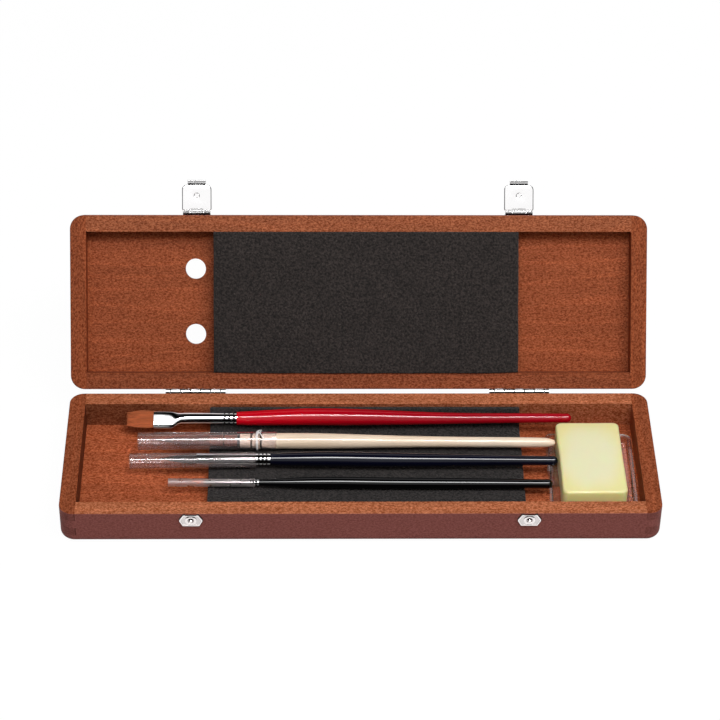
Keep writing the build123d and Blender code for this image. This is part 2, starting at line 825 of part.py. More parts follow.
with BuildPart() as flat_brush_ferrule:
    with BuildSketch(cross_plane(flat_along, flat_shoulder)):
        Circle(flat_ferrule_r)
    extrude(amount=flat_blend_from - flat_shoulder)
    with BuildSketch(flat_section(flat_blend_from)):
        Circle(flat_ferrule_r)
    with BuildSketch(flat_section(flat_press_from)):
        with Locations((flat_press_drop, 0)):
            SlotOverall(flat_press_w, flat_press_t)
    loft()
    with BuildSketch(flat_section(flat_press_from)):
        with Locations((flat_press_drop, 0)):
            SlotOverall(flat_press_w, flat_press_t)
    extrude(amount=flat_press_len)
    with BuildSketch(flat_section(flat_mouth)):
        with Locations((flat_press_drop, 0)):
            SlotOverall(flat_slot_w, flat_slot_t)
    extrude(amount=-flat_slot_depth, mode=Mode.SUBTRACT)
    with BuildSketch(cross_plane(flat_along, flat_shoulder)):
        Circle(flat_tenon_r + tenon_fit)
    extrude(amount=flat_tenon_len + tenon_fit, mode=Mode.SUBTRACT)
    with BuildSketch(flat_along):
        for share in crimp_shares:
            with Locations((flat_shoulder + share * flat_tenon_len, flat_ferrule_r + crimp_lift)):
                Circle(crimp_r)
    revolve(axis=flat_axis, mode=Mode.SUBTRACT)
save(flat_brush_ferrule, "flat_brush_ferrule")

with BuildPart() as flat_brush_hair:
    with BuildSketch(flat_section(flat_mouth - flat_slot_depth + tenon_fit)):
        with Locations((flat_press_drop, 0)):
            SlotOverall(flat_slot_w - 2 * tenon_fit, flat_slot_t - 2 * tenon_fit)
    extrude(amount=flat_slot_depth - tenon_fit)
    with BuildSketch(flat_section(flat_mouth)):
        with Locations((flat_press_drop, 0)):
            SlotOverall(flat_slot_w - 2 * tenon_fit, flat_slot_t - 2 * tenon_fit)
    with BuildSketch(flat_section(flat_mouth + 0.45 * flat_hair_len)):
        with Locations((flat_press_drop, 0)):
            SlotOverall(flat_hair_w, flat_hair_t)
    with BuildSketch(flat_section(flat_mouth + flat_hair_len)):
        with Locations((flat_press_drop, 0)):
            SlotOverall(flat_tip_w, flat_tip_t)
    loft()
save(flat_brush_hair, "flat_brush_hair")

# Quill brush: natural wood handle, a clear sleeve bound with wire, and a tube over the hair
quill_z = foam_top + loose_fit + quill_guard_r + 2 * thread_r
quill_guard_near = soap_left + quill_end - inner_left - quill_room - quill_guard_len
quill_shoulder = quill_guard_near + quill_guard_lap
quill_band_spots = [quill_shoulder - band for band in quill_bands]
quill_along = brush_plane(soap_left + quill_end, inner_back - quill_y, quill_z, quill_turn)
quill_axis = Axis(quill_along.origin, quill_along.x_dir)
with BuildPart() as quill_brush_handle:
    with BuildSketch(quill_along) as quill_profile:
        with BuildLine():
            Spline(
                (0, quill_nose_r),
                (0.4 * quill_nose_len, 0.75 * quill_tail_r),
                (quill_nose_len, quill_tail_r),
            )
            Spline(
                (quill_nose_len, quill_tail_r),
                (quill_waist * quill_shoulder, quill_waist_r),
                (quill_belly * quill_shoulder, quill_belly_r),
                tangents=[(1, 0), (1, 0)],
            )
            Spline(
                (quill_belly * quill_shoulder, quill_belly_r),
                (quill_shoulder, quill_shoulder_r),
                tangents=[(1, 0), (1, -handle_neck_slope / 2)],
            )
            Polyline(
                (quill_shoulder, quill_shoulder_r),
                (quill_shoulder, quill_tenon_r),
                (quill_shoulder + quill_tenon_len, quill_tenon_r),
                (quill_shoulder + quill_tenon_len, 0),
                (0, 0),
                (0, quill_nose_r),
            )
        make_face()
        with Locations(*[(spot, quill_band_seat_r) for spot in quill_band_spots]):
            Rectangle(quill_band_w + 2 * tenon_fit, 2, align=(Align.CENTER, Align.MIN), mode=Mode.SUBTRACT)
    revolve(axis=quill_axis)
save(quill_brush_handle, "quill_brush_handle")

sleeve_inner = quill_sleeve_r - quill_sleeve_wall
sleeve_mouth = quill_shoulder + quill_sleeve_len
sleeve_bore = sleeve_inner + tenon_fit
quill_brush_sleeve = tube(quill_along, quill_shoulder + tenon_fit, sleeve_mouth, quill_sleeve_r, sleeve_bore)
save(quill_brush_sleeve, "quill_brush_sleeve")

quill_brush_hair = pointed_hair(
    quill_along, sleeve_mouth, quill_hair_root, sleeve_inner, quill_hair_r, quill_hair_len
)
save(quill_brush_hair, "quill_brush_hair")

ring_inner = quill_sleeve_r + tenon_fit
quill_brush_ring = tube(
    quill_along,
    quill_shoulder + tenon_fit,
    quill_shoulder + quill_ring_w,
    ring_inner + quill_ring_t,
    ring_inner,
)
save(quill_brush_ring, "quill_brush_ring")

with BuildPart() as quill_brush_wires:
    with BuildSketch(quill_along):
        with Locations(*[(spot, quill_band_seat_r + tenon_fit) for spot in quill_band_spots]):
            Rectangle(quill_band_w, quill_band_t, align=(Align.CENTER, Align.MIN))
        with Locations((quill_shoulder + quill_wire, quill_sleeve_r + wire_r + tenon_fit)):
            Circle(wire_r)
    revolve(axis=quill_axis)
save(quill_brush_wires, "quill_brush_wires")

quill_guard_far = quill_guard_near + quill_guard_len
quill_guard_bore = quill_guard_r - guard_wall
quill_guard_tube = tube(quill_along, quill_guard_near, quill_guard_far, quill_guard_r, quill_guard_bore)
save(quill_guard_tube, "quill_guard_tube")

thread_ring_r = quill_guard_r + thread_r + tenon_fit
with BuildPart() as quill_guard_thread:
    with BuildSketch(quill_along):
        with Locations((quill_shoulder - thread_at, thread_ring_r)):
            Circle(thread_r)
    revolve(axis=quill_axis)
    thread_plane = cross_plane(quill_along, quill_shoulder - thread_at)
    with Locations(thread_plane.location * Location((0, quill_guard_r + tenon_fit + knot_r, 0))):
        Sphere(knot_r)
save(quill_guard_thread, "quill_guard_thread")

# Round brush and fine brush: a guard tube hangs on each ferrule
round_hang = round_guard_r - guard_wall - round_ferrule_r - guard_play
round_z = foam_top + loose_fit + round_guard_r + round_hang
fine_hang = fine_guard_r - guard_wall - fine_ferrule_r - guard_play
fine_z = foam_top + loose_fit + fine_belly_r

round_guard_far = soap_left + round_end - inner_left - round_room
round_shoulder = round_guard_far - round_guard_len - round_guard_start
round_along = brush_plane(soap_left + round_end, inner_back - round_y, round_z, round_turn)
round_brush_handle = turned_handle(
    round_along,
    (round_shoulder, round_shoulder_r),
    (round_belly, round_belly_r),
    (round_waist, round_waist_r),
    round_tail_r,
    (round_tenon_len, round_tenon_r),
)
save(round_brush_handle, "round_brush_handle")
round_brush_ferrule = round_ferrule(
    round_along,
    round_shoulder,
    round_ferrule_len,
    round_ferrule_r,
    round_mouth_r + guard_wall,
    (round_tenon_len, round_tenon_r),
    round_tenon_len,
    round_mouth_r,
)
save(round_brush_ferrule, "round_brush_ferrule")
round_brush_hair = pointed_hair(
    round_along,
    round_shoulder + round_ferrule_len,
    round_tenon_len,
    round_mouth_r,
    round_hair_r,
    round_hair_len,
)
save(round_brush_hair, "round_brush_hair")
round_guard_along = round_along.offset(-round_hang)
round_guard_tube = tube(
    round_guard_along,
    round_guard_far - round_guard_len,
    round_guard_far,
    round_guard_r,
    round_guard_r - guard_wall,
)
save(round_guard_tube, "round_guard_tube")

fine_guard_far = soap_left + fine_end - inner_left - fine_room
fine_shoulder = fine_guard_far - fine_guard_len - fine_guard_start
fine_along = brush_plane(soap_left + fine_end, inner_back - fine_y, fine_z, fine_turn)
fine_brush_handle = turned_handle(
    fine_along,
    (fine_shoulder, fine_shoulder_r),
    (fine_belly, fine_belly_r),
    (fine_waist, fine_waist_r),
    fine_tail_r,
    (fine_tenon_len, fine_tenon_r),
)
save(fine_brush_handle, "fine_brush_handle")
fine_brush_ferrule = round_ferrule(
    fine_along,
    fine_shoulder,
    fine_ferrule_len,
    fine_ferrule_r,
    fine_mouth_r + guard_wall / 2,
    (fine_tenon_len, fine_tenon_r),
    fine_tenon_len,
    fine_mouth_r,
)
save(fine_brush_ferrule, "fine_brush_ferrule")
fine_brush_hair = pointed_hair(
    fine_along,
    fine_shoulder + fine_ferrule_len,
    fine_tenon_len,
    fine_mouth_r,
    fine_hair_r,
    fine_hair_len,
)
save(fine_brush_hair, "fine_brush_hair")
fine_guard_along = fine_along.offset(-fine_hang)
fine_guard_tube = tube(
    fine_guard_along,
    fine_guard_far - fine_guard_len,
    fine_guard_far,
    fine_guard_r,
    fine_guard_r - guard_wall,
)
save(fine_guard_tube, "fine_guard_tube")

# ---------------------------------------------------------------- soap and tray
tray_plane = Plane(Location((tray_x, tray_y, floor_t), (0, 0, tray_turn)))
with BuildPart() as soap_tray:
    with BuildSketch(tray_plane):
        RectangleRounded(tray_w, tray_d, tray_corner_r)
    extrude(amount=tray_h)
    with BuildSketch(tray_plane.offset(tray_t)):
        RectangleRounded(tray_w - 2 * tray_t, tray_d - 2 * tray_t, tray_corner_r - tray_t)
    extrude(amount=tray_h - tray_t, mode=Mode.SUBTRACT)
save(soap_tray, "soap_tray")

soap_x = soap_left + soap_w / 2
soap_y = tray_y + (soap_front_room - soap_back_room) / 2
soap_z = floor_t + tray_t + loose_fit
with BuildPart() as soap:
    with BuildSketch(Plane(Location((soap_x, soap_y, soap_z), (0, 0, soap_turn)))):
        RectangleRounded(soap_w, soap_d, soap_corner_r)
    extrude(amount=soap_h)
    fillet(soap.faces().filter_by(Axis.Z).edges(), soap_edge_r)
save(soap, "soap")
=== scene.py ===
import random
from functools import reduce
from math import cos, exp, pi, radians, sin, sqrt

import bmesh
import bpy
from mathutils import Euler, Matrix, Vector, noise


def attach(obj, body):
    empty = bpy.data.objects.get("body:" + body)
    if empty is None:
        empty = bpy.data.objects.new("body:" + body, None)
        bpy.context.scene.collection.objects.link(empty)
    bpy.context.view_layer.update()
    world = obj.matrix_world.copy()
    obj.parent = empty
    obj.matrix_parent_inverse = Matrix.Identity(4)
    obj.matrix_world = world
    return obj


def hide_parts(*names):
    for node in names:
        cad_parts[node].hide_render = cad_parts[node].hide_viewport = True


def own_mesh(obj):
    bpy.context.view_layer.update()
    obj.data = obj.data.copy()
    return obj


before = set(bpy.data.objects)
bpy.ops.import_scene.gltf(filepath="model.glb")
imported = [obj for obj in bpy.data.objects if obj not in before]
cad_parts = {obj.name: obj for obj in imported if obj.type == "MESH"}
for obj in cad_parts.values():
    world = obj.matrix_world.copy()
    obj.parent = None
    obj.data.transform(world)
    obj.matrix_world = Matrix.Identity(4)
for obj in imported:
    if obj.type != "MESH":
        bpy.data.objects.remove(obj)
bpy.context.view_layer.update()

bl_info = {
    "name": "Brush Box",
    "version": (1, 0, 0),
    "blender": (4, 5, 0),
    "location": "View3D > Sidebar > Brush Box",
    "description": "Wooden brush box with a hinged lid, foam pads, four brushes and a bar of soap",
    "category": "Add Mesh",
}

# ------------------------------------------------------------------ places, in millimetres
CASE_D, BASE_H = 81.5, 17.7
INNER_X, INNER_Y = 127.6, 33.05
STAIN_X, STAIN_Y = 128.0, 33.5  # where the boards' inner colour gives way to the outer stain
FLOOR_TOP, FOAM_TOP = 4.6, 8.6
LID_ANGLE = radians(-126.5)
HINGE = Vector((0, CASE_D / 2 + 1.1, BASE_H + 0.05))
LID_RIM = BASE_H + 0.1
LID_PANEL = LID_RIM + 9.2
MM = Matrix.Scale(0.001, 4)
OPEN_LID = Matrix.Translation(HINGE) @ Matrix.Rotation(LID_ANGLE, 4, "X") @ Matrix.Translation(-HINGE)

HINGE_X = {"left": -76.6, "right": 75.3}
HINGE_LENGTH, KNUCKLES = 28.2, 6
HASP_X = {"left": -76.0, "right": 75.1}
HASP_W, HASP_REACH, HASP_CORNER = 13.8, 13.1, 2.3
HASP_AXIS_Y, HASP_AXIS_Z = -CASE_D / 2 - 1.0, LID_RIM + 4.3
SHEET, BARREL = 0.5, 0.95
STUD_R, STUD_Z = 1.05, BASE_H - 3.7


def brush_place(end_x, y, z, yaw, drop=0.0):
    """A brush's own frame: X from the handle's end towards the hair, Y to the front and Z up."""
    spin = Matrix.Rotation(pi + radians(yaw), 4, "Z")
    return MM @ Matrix.Translation((end_x, y, z - drop)) @ spin


FLAT_END, QUILL_END, ROUND_END, FINE_END = 98.85, 90.45, 90.75, 87.45
FLAT_SHOULDER, QUILL_SHOULDER, ROUND_SHOULDER, FINE_SHOULDER = 155.8, 145.6, 131.7, 133.4
FLAT = brush_place(FLAT_END, 26.03, 15.1, yaw=-0.45)
QUILL = brush_place(QUILL_END, 11.4, 13.35, yaw=-0.6, drop=0.45)
ROUND = brush_place(ROUND_END, -1.49, 13.38, yaw=-0.5)
ROUND_GUARD = brush_place(ROUND_END, -1.49, 13.28, yaw=-0.5, drop=0.63)
FINE = brush_place(FINE_END, -15.16, 11.65, yaw=-0.5)
FINE_GUARD = brush_place(FINE_END, -15.16, 11.65, yaw=-0.5, drop=0.23)
FLAT_TILT, FLAT_SHIFT = radians(35), 0.9
QUILL_TUBE_R = 4.1

# ------------------------------------------------------------------ stage
CAMERA_AT = (-0.021076, -0.872232, 0.816385)
CAMERA_YAW, CAMERA_PITCH, CAMERA_ROLL = radians(1.338), radians(40.439), radians(0.85)
FOCAL_PIXELS, PICTURE_PIXELS, SENSOR = 2585.36, 720, 36
LAMP_AIM = Vector((0, 0.02, 0.02))

# ------------------------------------------------------------------ limits that several finishes use
NOISE_LIMITS = (0.3, 0.7)
FLECK_LIMITS = (0.34, 0.66)
BAND_SOFT = radians(3)
# Painted dark lines on the polished ferrules, standing for dark reflections and shade: lowest and highest
# angle of the surface above the front in degrees, and how bright it stays.
FERRULE_PAINTED_DARK_BANDS = ((58, 98, 0.05), (-8, 35, 0.04))
FERRULE_BRIGHT = (-8, 98)


def mm(value):
    """Millimetres in metres, which the shaders measure in."""
    return value / 1000


def linear(*channels):
    """A colour given in 0 to 255, as the linear values that the shaders take."""
    shares = [channel / 255 for channel in channels]
    return tuple(c / 12.92 if c <= 0.04045 else ((c + 0.055) / 1.055) ** 2.4 for c in shares)


def colour(label, red, green, blue, about):
    """A colour that the sidebar offers."""
    return bpy.props.FloatVectorProperty(
        name=label, description=about, subtype="COLOR", size=3, min=0, max=1,
        default=linear(red, green, blue),
    )


def length(label, millimetres, about):
    """A length that the sidebar offers."""
    return bpy.props.FloatProperty(
        name=label, description=about, unit="LENGTH", default=mm(millimetres), min=0, precision=5,
    )


def strength(label, default, about):
    """A strength of light that the sidebar offers."""
    return bpy.props.FloatProperty(name=label, description=about, default=default, min=0)


class BrushBoxColours(bpy.types.PropertyGroup):
    """Colours of the finishes."""
    rim: colour("Base boards", 175, 101, 64, "Stained wood of the base's long boards")
    side: colour("Base sides", 140, 71, 40, "Stained wood of the base's side boards")
    lid_top: colour("Lid front board", 155, 84, 50, "Stained wood of the lid's front board")
    lid_low: colour("Lid back board", 134, 67, 37, "Stained wood of the lid's back board")
    lid_side: colour("Lid sides", 141, 69, 36, "Stained wood of the lid's side boards")
    panel: colour("Lid panel", 150, 75, 41, "Stained plywood of the lid")
    floor: colour("Floor", 165, 84, 49, "Stained plywood of the floor")
    outside: colour("Outside stain", 147, 86, 79, "Pinkish brown stain on the outside of the case")
    foam: colour("Lid foam", 45, 39, 37, "Charcoal foam of the lid's pad")
    foam_low: colour("Base foam", 42, 38, 37, "Charcoal foam of the base's pad")
    nickel: colour("Nickel", 246, 245, 245, "Nickel plate of the hinges, latches and catches")
    ferrule: colour("Ferrule", 246, 246, 246, "Nickel plate of the ferrules")
    red: colour("Red lacquer", 222, 5, 30, "Handle of the flat brush")
    pale: colour("Pale wood", 255, 233, 208, "Handle of the quill brush")
    navy: colour("Navy lacquer", 8, 10, 30, "Handle of the round brush")
    black: colour("Black lacquer", 4, 4, 6, "Handle of the fine brush")
    gold_hair: colour("Golden hair", 202, 112, 68, "Synthetic hair of the flat and fine brushes")
    dark_hair: colour("Dark hair", 50, 30, 24, "Hair of the round brush")
    quill_hair: colour("Brown hair", 112, 62, 50, "Hair of the quill brush")
    clear: colour("Clear plastic", 252, 248, 248, "Guard tubes and tray")
    sleeve: colour("Quill sleeve", 168, 112, 96, "Sleeve of the quill brush")
    brass: colour("Brass wire", 124, 88, 52, "Wire bindings")
    thread: colour("Thread", 240, 238, 238, "Thread tied around the quill guard")
    soap: colour("Soap", 255, 241, 200, "Middle of the soap")
    # Soap edges: a yellower colour painted to stand in for light glowing through the soap's edges and
    # lighting its front.
    soap_edge_glow: colour("Soap edges", 255, 236, 168, "Worn, more yellow edges of the soap")


class BrushBoxSizes(bpy.types.PropertyGroup):
    """Sizes that the pieces of the scene take beyond the solids, and strengths of the lights."""
    lid_foam: length("Lid foam", 10.4, "Thickness of the lid's pad while the lid is open")
    foam_round: length("Foam edge", 1.1, "Rounding of the lid pad's free edges")
    foam_wave: length("Foam wave", 0.22, "Unevenness of the pads")
    tube_wall: length("Tube wall", 0.3, "Wall of the guard tubes")
    strand: length("Bristle", 0.16, "Radius of one bristle")
    soap_round: length("Soap edge", 1.0, "Rounding of the soap's edges")
    tray_wall: length("Tray wall", 0.3, "Wall of the clear tray")
    strands: bpy.props.IntProperty(
        name="Bristles", description="Bristles across the flat brush's head", default=42, min=8, max=60,
    )
    key: strength("Key light", 12.0, "Power of the overhead soft light")
    strip: strength("Strip light", 30.0, "Power of the strip that only gloss shows")
    ambient: strength("Fill", 0.26, "Strength of the light from all round")


def settings():
    """The sidebar's colours and sizes."""
    return bpy.context.scene.brush_box_colours, bpy.context.scene.brush_box_sizes


def tint(value):
    """A colour property as a tuple."""
    return tuple(value[:3])


def scaled(tint, red, green=None, blue=None):
    """A colour with its channels multiplied, all by one factor or each by its own."""
    factors = (red, red, red) if green is None else (red, green, blue)
    return tuple(min(1.0, c * f) for c, f in zip(tint, factors))


# ------------------------------------------------------------------ finishes
class Nodes:
    """A node tree and short ways of filling it."""

    def __init__(self, tree):
        self.tree = tree
        self.tree.nodes.clear()

    def put(self, socket, value):
        """Feed an input with another node's output or with a constant."""
        if isinstance(value, bpy.types.NodeSocket):
            self.tree.links.new(value, socket)
        else:
            socket.default_value = (*value, 1) if socket.type == "RGBA" else value

    def add(self, kind, inputs=None, **options):
        """A node with what its inputs take and its options."""
        made = self.tree.nodes.new(kind)
        for key, value in options.items():
            setattr(made, key, value)
        for key, value in (inputs or {}).items():
            self.put(made.inputs[key], value)
        return made

    def place(self, source="Object", rotation=(0, 0, 0), location=(0, 0, 0)):
        """Coordinates turned into a pattern's own frame."""
        where = self.add("ShaderNodeTexCoord").outputs[source]
        inputs = {"Vector": where, "Rotation": rotation, "Location": location}
        return self.add("ShaderNodeMapping", inputs, vector_type="TEXTURE").outputs[0]

    def stretch(self, vector, scale, shift=(0, 0, 0)):
        """A further stretch and shift of coordinates."""
        inputs = {"Vector": vector, "Scale": scale, "Location": shift}
        return self.add("ShaderNodeMapping", inputs, vector_type="TEXTURE").outputs[0]

    def noise(self, vector, scale, detail, rough=0.55, twist=0.0):
        """Noise between 0 and 1."""
        inputs = {"Vector": vector, "Scale": scale, "Detail": detail, "Roughness": rough, "Distortion": twist}
        return self.add("ShaderNodeTexNoise", inputs).outputs[0]

    def streaks(self, vector, long, *pattern):
        """Noise drawn out along X."""
        return self.noise(self.stretch(vector, (long, 1, 1)), *pattern)

    def parts(self, vector):
        """A vector's three parts."""
        return tuple(self.add("ShaderNodeSeparateXYZ", {0: vector}).outputs)

    def span(self, value, low, high, to_low=0.0, to_high=1.0):
        """A value from one range carried smoothly into another."""
        inputs = {0: value, 1: low, 2: high, 3: to_low, 4: to_high}
        return self.add("ShaderNodeMapRange", inputs, interpolation_type="SMOOTHSTEP").outputs[0]

    def fall(self, value, low, high):
        """1 up to one limit and 0 beyond the next."""
        return self.span(value, low, high, 1.0, 0.0)

    def vary(self, pattern, to_low=0.0, to_high=1.0):
        """The usual range of noise carried into another."""
        return self.span(pattern, *NOISE_LIMITS, to_low, to_high)

    def within(self, value, low, high, soft):
        """1 where a value lies between two limits and 0 beyond them, with soft edges."""
        above = self.span(value, low - soft, low + soft)
        return self.times(above, self.fall(value, high - soft, high + soft))

    def dim(self, mask, level, full=1.0):
        """Full strength where the mask is 0, down to a level where it is 1."""
        return self.span(mask, 0.0, 1.0, full, level)

    def rise(self, vector):
        """Angle of a direction above the front, in radians."""
        _, y, z = self.parts(vector)
        return self.maths("ARCTAN2", z, self.times(y, -1.0))

    def facing(self):
        """The way that the surface looks."""
        return self.add("ShaderNodeTexCoord").outputs["Normal"]

    def rays(self, *kinds):
        """1 for rays of the given kinds."""
        path = self.add("ShaderNodeLightPath")
        return self.most(*(path.outputs[f"Is {kind} Ray"] for kind in kinds))

    def maths(self, operation, *values):
        """Arithmetic on one or two values."""
        return self.add("ShaderNodeMath", dict(enumerate(values)), operation=operation).outputs[0]

    def times(self, *values):
        """Values multiplied."""
        return reduce(lambda first, second: self.maths("MULTIPLY", first, second), values)

    def plus(self, *values):
        """Values added."""
        return reduce(lambda first, second: self.maths("ADD", first, second), values)

    def minus(self, first, second):
        """One value less another."""
        return self.maths("SUBTRACT", first, second)

    def most(self, *values):
        """The largest of some values."""
        return reduce(lambda first, second: self.maths("MAXIMUM", first, second), values)

    def size(self, value):
        """A value without its sign."""
        return self.maths("ABSOLUTE", value)

    def reach(self, first, second):
        """Length of a line from its two parts."""
        squares = self.plus(self.maths("POWER", first, 2.0), self.maths("POWER", second, 2.0))
        return self.maths("SQRT", squares)

    def mix(self, factor, first, second, blend="MIX"):
        """Two colours mixed by a factor."""
        inputs = {0: factor, 6: first, 7: second}
        return self.add("ShaderNodeMix", inputs, data_type="RGBA", blend_type=blend).outputs[2]

    def tinted(self, first, second):
        """Two colours multiplied."""
        return self.mix(1.0, first, second, "MULTIPLY")

    def shaded(self, shade, value):
        """A colour multiplied by a value."""
        grey = self.add("ShaderNodeCombineColor", {0: value, 1: value, 2: value})
        return self.tinted(shade, grey.outputs[0])


class Finish(Nodes):
    """One material: a Principled shader and the textures that feed it."""

    def __init__(self, name):
        self.material = bpy.data.materials.new(name)
        self.material.use_nodes = True
        super().__init__(self.material.node_tree)
        self.shader = self.add("ShaderNodeBsdfPrincipled")
        self.add("ShaderNodeOutputMaterial", {"Surface": self.shader.outputs[0]})

    def set(self, **values):
        """What the shader's inputs take, constants or patterns."""
        for key, value in values.items():
            self.put(self.shader.inputs[key.replace("_", " ")], value)

    def bump(self, height, strength, distance):
        """Raise the surface by a height."""
        inputs = {"Strength": strength, "Distance": distance, "Height": height}
        self.set(Normal=self.add("ShaderNodeBump", inputs).outputs[0])


def wood(name, tone, outside, part, across=False, seed=0.0, inside=0):
    """Stained close-grained wood with flecks and faint figure, pinker on its outer faces.

    part is base or lid, across turns the grain along the case's depth, and inside is the way that
    a panel's inner face looks, up or down.
    """
    f = Finish(name)
    turned = Euler((LID_ANGLE if part == "lid" else 0, 0, 0))
    hinge = HINGE * 0.001
    closed = f.place(rotation=turned, location=hinge - turned.to_matrix() @ hinge)
    x, y, _ = f.parts(closed)
    nx, ny, nz = f.parts(f.place(source="Normal", rotation=turned))
    grain = f.stretch(closed, (1, 7, 1) if across else (7, 1, 1), (seed, seed, 0))
    short = f.stretch(closed, (1, 1.6, 1) if across else (1.6, 1, 1), (0, seed, 0))
    broad = f.noise(grain, 70, 4, 0.6, 1.2)
    fleck = f.noise(short, 1450, 3, 0.65, 0.5)
    pore = f.noise(short, 2600, 2, 0.6)
    rings = {"Vector": grain, "Scale": 40, "Distortion": 14, "Detail": 2, "Detail Scale": 0.8}
    wave = f.add("ShaderNodeTexWave", rings, wave_type="BANDS", bands_direction="X" if across else "Y")
    flecks = f.span(fleck, *FLECK_LIMITS)
    base = f.mix(flecks, scaled(tone, 0.61, 0.47, 0.36), scaled(tone, 1.45, 1.66, 1.98))
    figure = f.plus(
        f.vary(broad, 0.9, 1.08), f.span(wave.outputs[1], 0.8, 1.0, 0.0, 0.16),
        f.span(pore, 0.35, 0.65, -0.12, 0.12),
    )
    base = f.shaded(base, figure)
    face_x, face_y = ((mm(face) - 0.0001, mm(face) + 0.0001) for face in (STAIN_X, STAIN_Y))
    if inside:
        outer = f.fall(f.times(nz, inside), 0.55, 0.75)
    else:
        upright = f.fall(f.size(nz), 0.55, 0.75)
        outer = f.times(upright, f.most(f.span(f.size(x), *face_x), f.span(f.size(y), *face_y)))
    stain = f.mix(flecks, scaled(outside, 0.8, 0.78, 0.74), scaled(outside, 1.2, 1.25, 1.28))
    shade = f.mix(outer, base, stain)
    end_grain = f.span(f.size(ny if across else nx), 0.6, 0.9)
    shade = f.mix(f.times(end_grain, 0.35), shade, f.tinted(shade, (0.42, 0.38, 0.36)))
    # Painted shade: the inner upright faces of the base's boards are darkened, the more towards the left end.
    if part == "base" and not inside:
        place, face = (x, face_x) if across else (y, face_y)
        inner = f.times(upright, f.fall(f.size(place), *face))
        shade = f.mix(inner, shade, f.shaded(shade, f.span(x, -0.14, 0.12, 0.5, 0.9)))
    f.set(Base_Color=shade, Roughness=f.span(fleck, *FLECK_LIMITS, 0.44, 0.6), Specular_IOR_Level=0.04)
    f.bump(f.plus(fleck, f.times(pore, 0.5)), 0.5, 0.0003)
    return f.material


def foam(name, tint):
    """Closed-cell foam: matt charcoal with pores and bright dust."""
    f = Finish(name)
    here = f.place()
    cells = f.add("ShaderNodeTexVoronoi", {"Vector": here, "Scale": 1000}).outputs["Distance"]
    grit = f.noise(here, 1000, 3, 0.7)
    dust = f.span(f.noise(f.stretch(here, (1, 1, 1), (0.3, 0.1, 0.2)), 900, 1, 0.4), 0.69, 0.78)
    tone = f.times(f.span(grit, 0.32, 0.68, 0.3, 1.75), f.vary(f.noise(here, 90, 2), 0.92, 1.08))
    f.set(Base_Color=f.mix(f.times(dust, 0.55), f.shaded(tint, tone), scaled(tint, 3.0)))
    f.bump(f.plus(cells, grit), 0.8, 0.0005)
    f.set(Roughness=0.95, Specular_IOR_Level=0.1, Sheen_Weight=0.08, Sheen_Roughness=0.6)
    return f.material


def plated(name, tint, rough=0.12, painted_dark_bands=(), marks=None, bright=None):
    """Bright plated metal with faint rolling marks and handling haze.

    bands are painted dark lines along round parts, standing for dark reflections and shade: lowest
    and highest angle of the surface above the front in degrees, and how bright it stays. marks is a
    function that returns a further brightness, which paints shade. bright gives the angles between
    which the plate is polished, and it is duller beyond.
    """
    f = Finish(name)
    here = f.place()
    haze = f.noise(here, 120, 3, 0.6)
    shade = f.mix(f.span(haze, 0.35, 0.7, 0.0, 0.35), tint, scaled(tint, 0.86))
    angle = f.rise(f.facing())

    def band(low, high):
        return f.within(angle, radians(low), radians(high), BAND_SOFT)

    # Painted dark reflections and shade by the angle of the surface, then further painted shade from marks.
    for low, high, level in painted_dark_bands:
        shade = f.shaded(shade, f.dim(band(low, high), level))
    if marks:
        shade = f.shaded(shade, marks(f, *f.parts(here)))
    finish = f.vary(haze, rough * 0.6, rough * 1.5)
    if bright:
        finish = f.plus(finish, f.dim(band(*bright), 0.0, full=0.55))
    f.set(Base_Color=shade, Roughness=finish, Metallic=1.0)
    f.bump(f.streaks(here, 12, 1800, 2, 0.5), 0.05, 0.0001)
    return f.material


def lacquer(name, tint, deep, tail=None):
    """Several coats of gloss lacquer with slight orange peel, darkened towards the tail as painted shade.

    deep is the share of the tint in its darker clouds, and tail the three shares of painted shade at the
    tail.
    """
    f = Finish(name)
    here = f.place()
    body = f.mix(f.vary(f.streaks(here, 5, 130, 2)), tint, scaled(tint, deep))
    # Painted shade that deepens towards the tail.
    if tail:
        body = f.tinted(body, f.mix(f.span(f.parts(here)[0], -0.055, 0.015), (1, 1, 1), tail))
    f.set(Base_Color=body, Roughness=f.vary(f.noise(here, 420, 2), 0.2, 0.28))
    f.bump(f.noise(here, 260, 2), 0.06, 0.0003)
    f.set(Coat_Weight=1.0, Coat_Roughness=0.04, Coat_IOR=1.34, Specular_IOR_Level=0.0)
    return f.material


def pale_handle(name, tint):
    """Clear-varnished pale wood with fine grain along the brush, greyer inside its guard tube as painted
    shade.
    """
    f = Finish(name)
    here = f.place()
    grain = f.streaks(here, 14, 900, 4, 0.6, 0.4)
    body = f.mix(f.vary(f.streaks(here, 6, 140, 2)), tint, scaled(tint, 1.0, 0.94, 0.88))
    # Painted shade: greyer where the handle lies inside its guard tube.
    tube_shade = f.mix(f.span(f.parts(here)[0], -0.0392, -0.0382), (0.72, 0.76, 0.82), (1, 1, 1))
    f.set(Base_Color=f.shaded(f.tinted(body, tube_shade), f.vary(grain, 0.9, 1.06)))
    f.set(Roughness=f.vary(grain, 0.3, 0.42))
    f.bump(grain, 0.08, 0.0002)
    f.set(Coat_Weight=0.6, Coat_Roughness=0.08, Coat_IOR=1.4, Specular_IOR_Level=0.1)
    return f.material


def bristle(name, tint, deep):
    """Bristles: streaked along their length, with a soft sheen and a deeper share of the tint."""
    f = Finish(name)
    here = f.place()
    streak = f.streaks(here, 30, 2600, 2, 0.6)
    body = f.mix(f.vary(f.streaks(here, 6, 500, 2)), tint, scaled(tint, deep))
    f.set(Base_Color=f.shaded(body, f.vary(streak, 0.7, 1.25)), Roughness=f.vary(streak, 0.35, 0.55))
    f.bump(streak, 0.2, 0.0001)
    f.set(Sheen_Weight=0.1, Specular_IOR_Level=0.15)
    return f.material


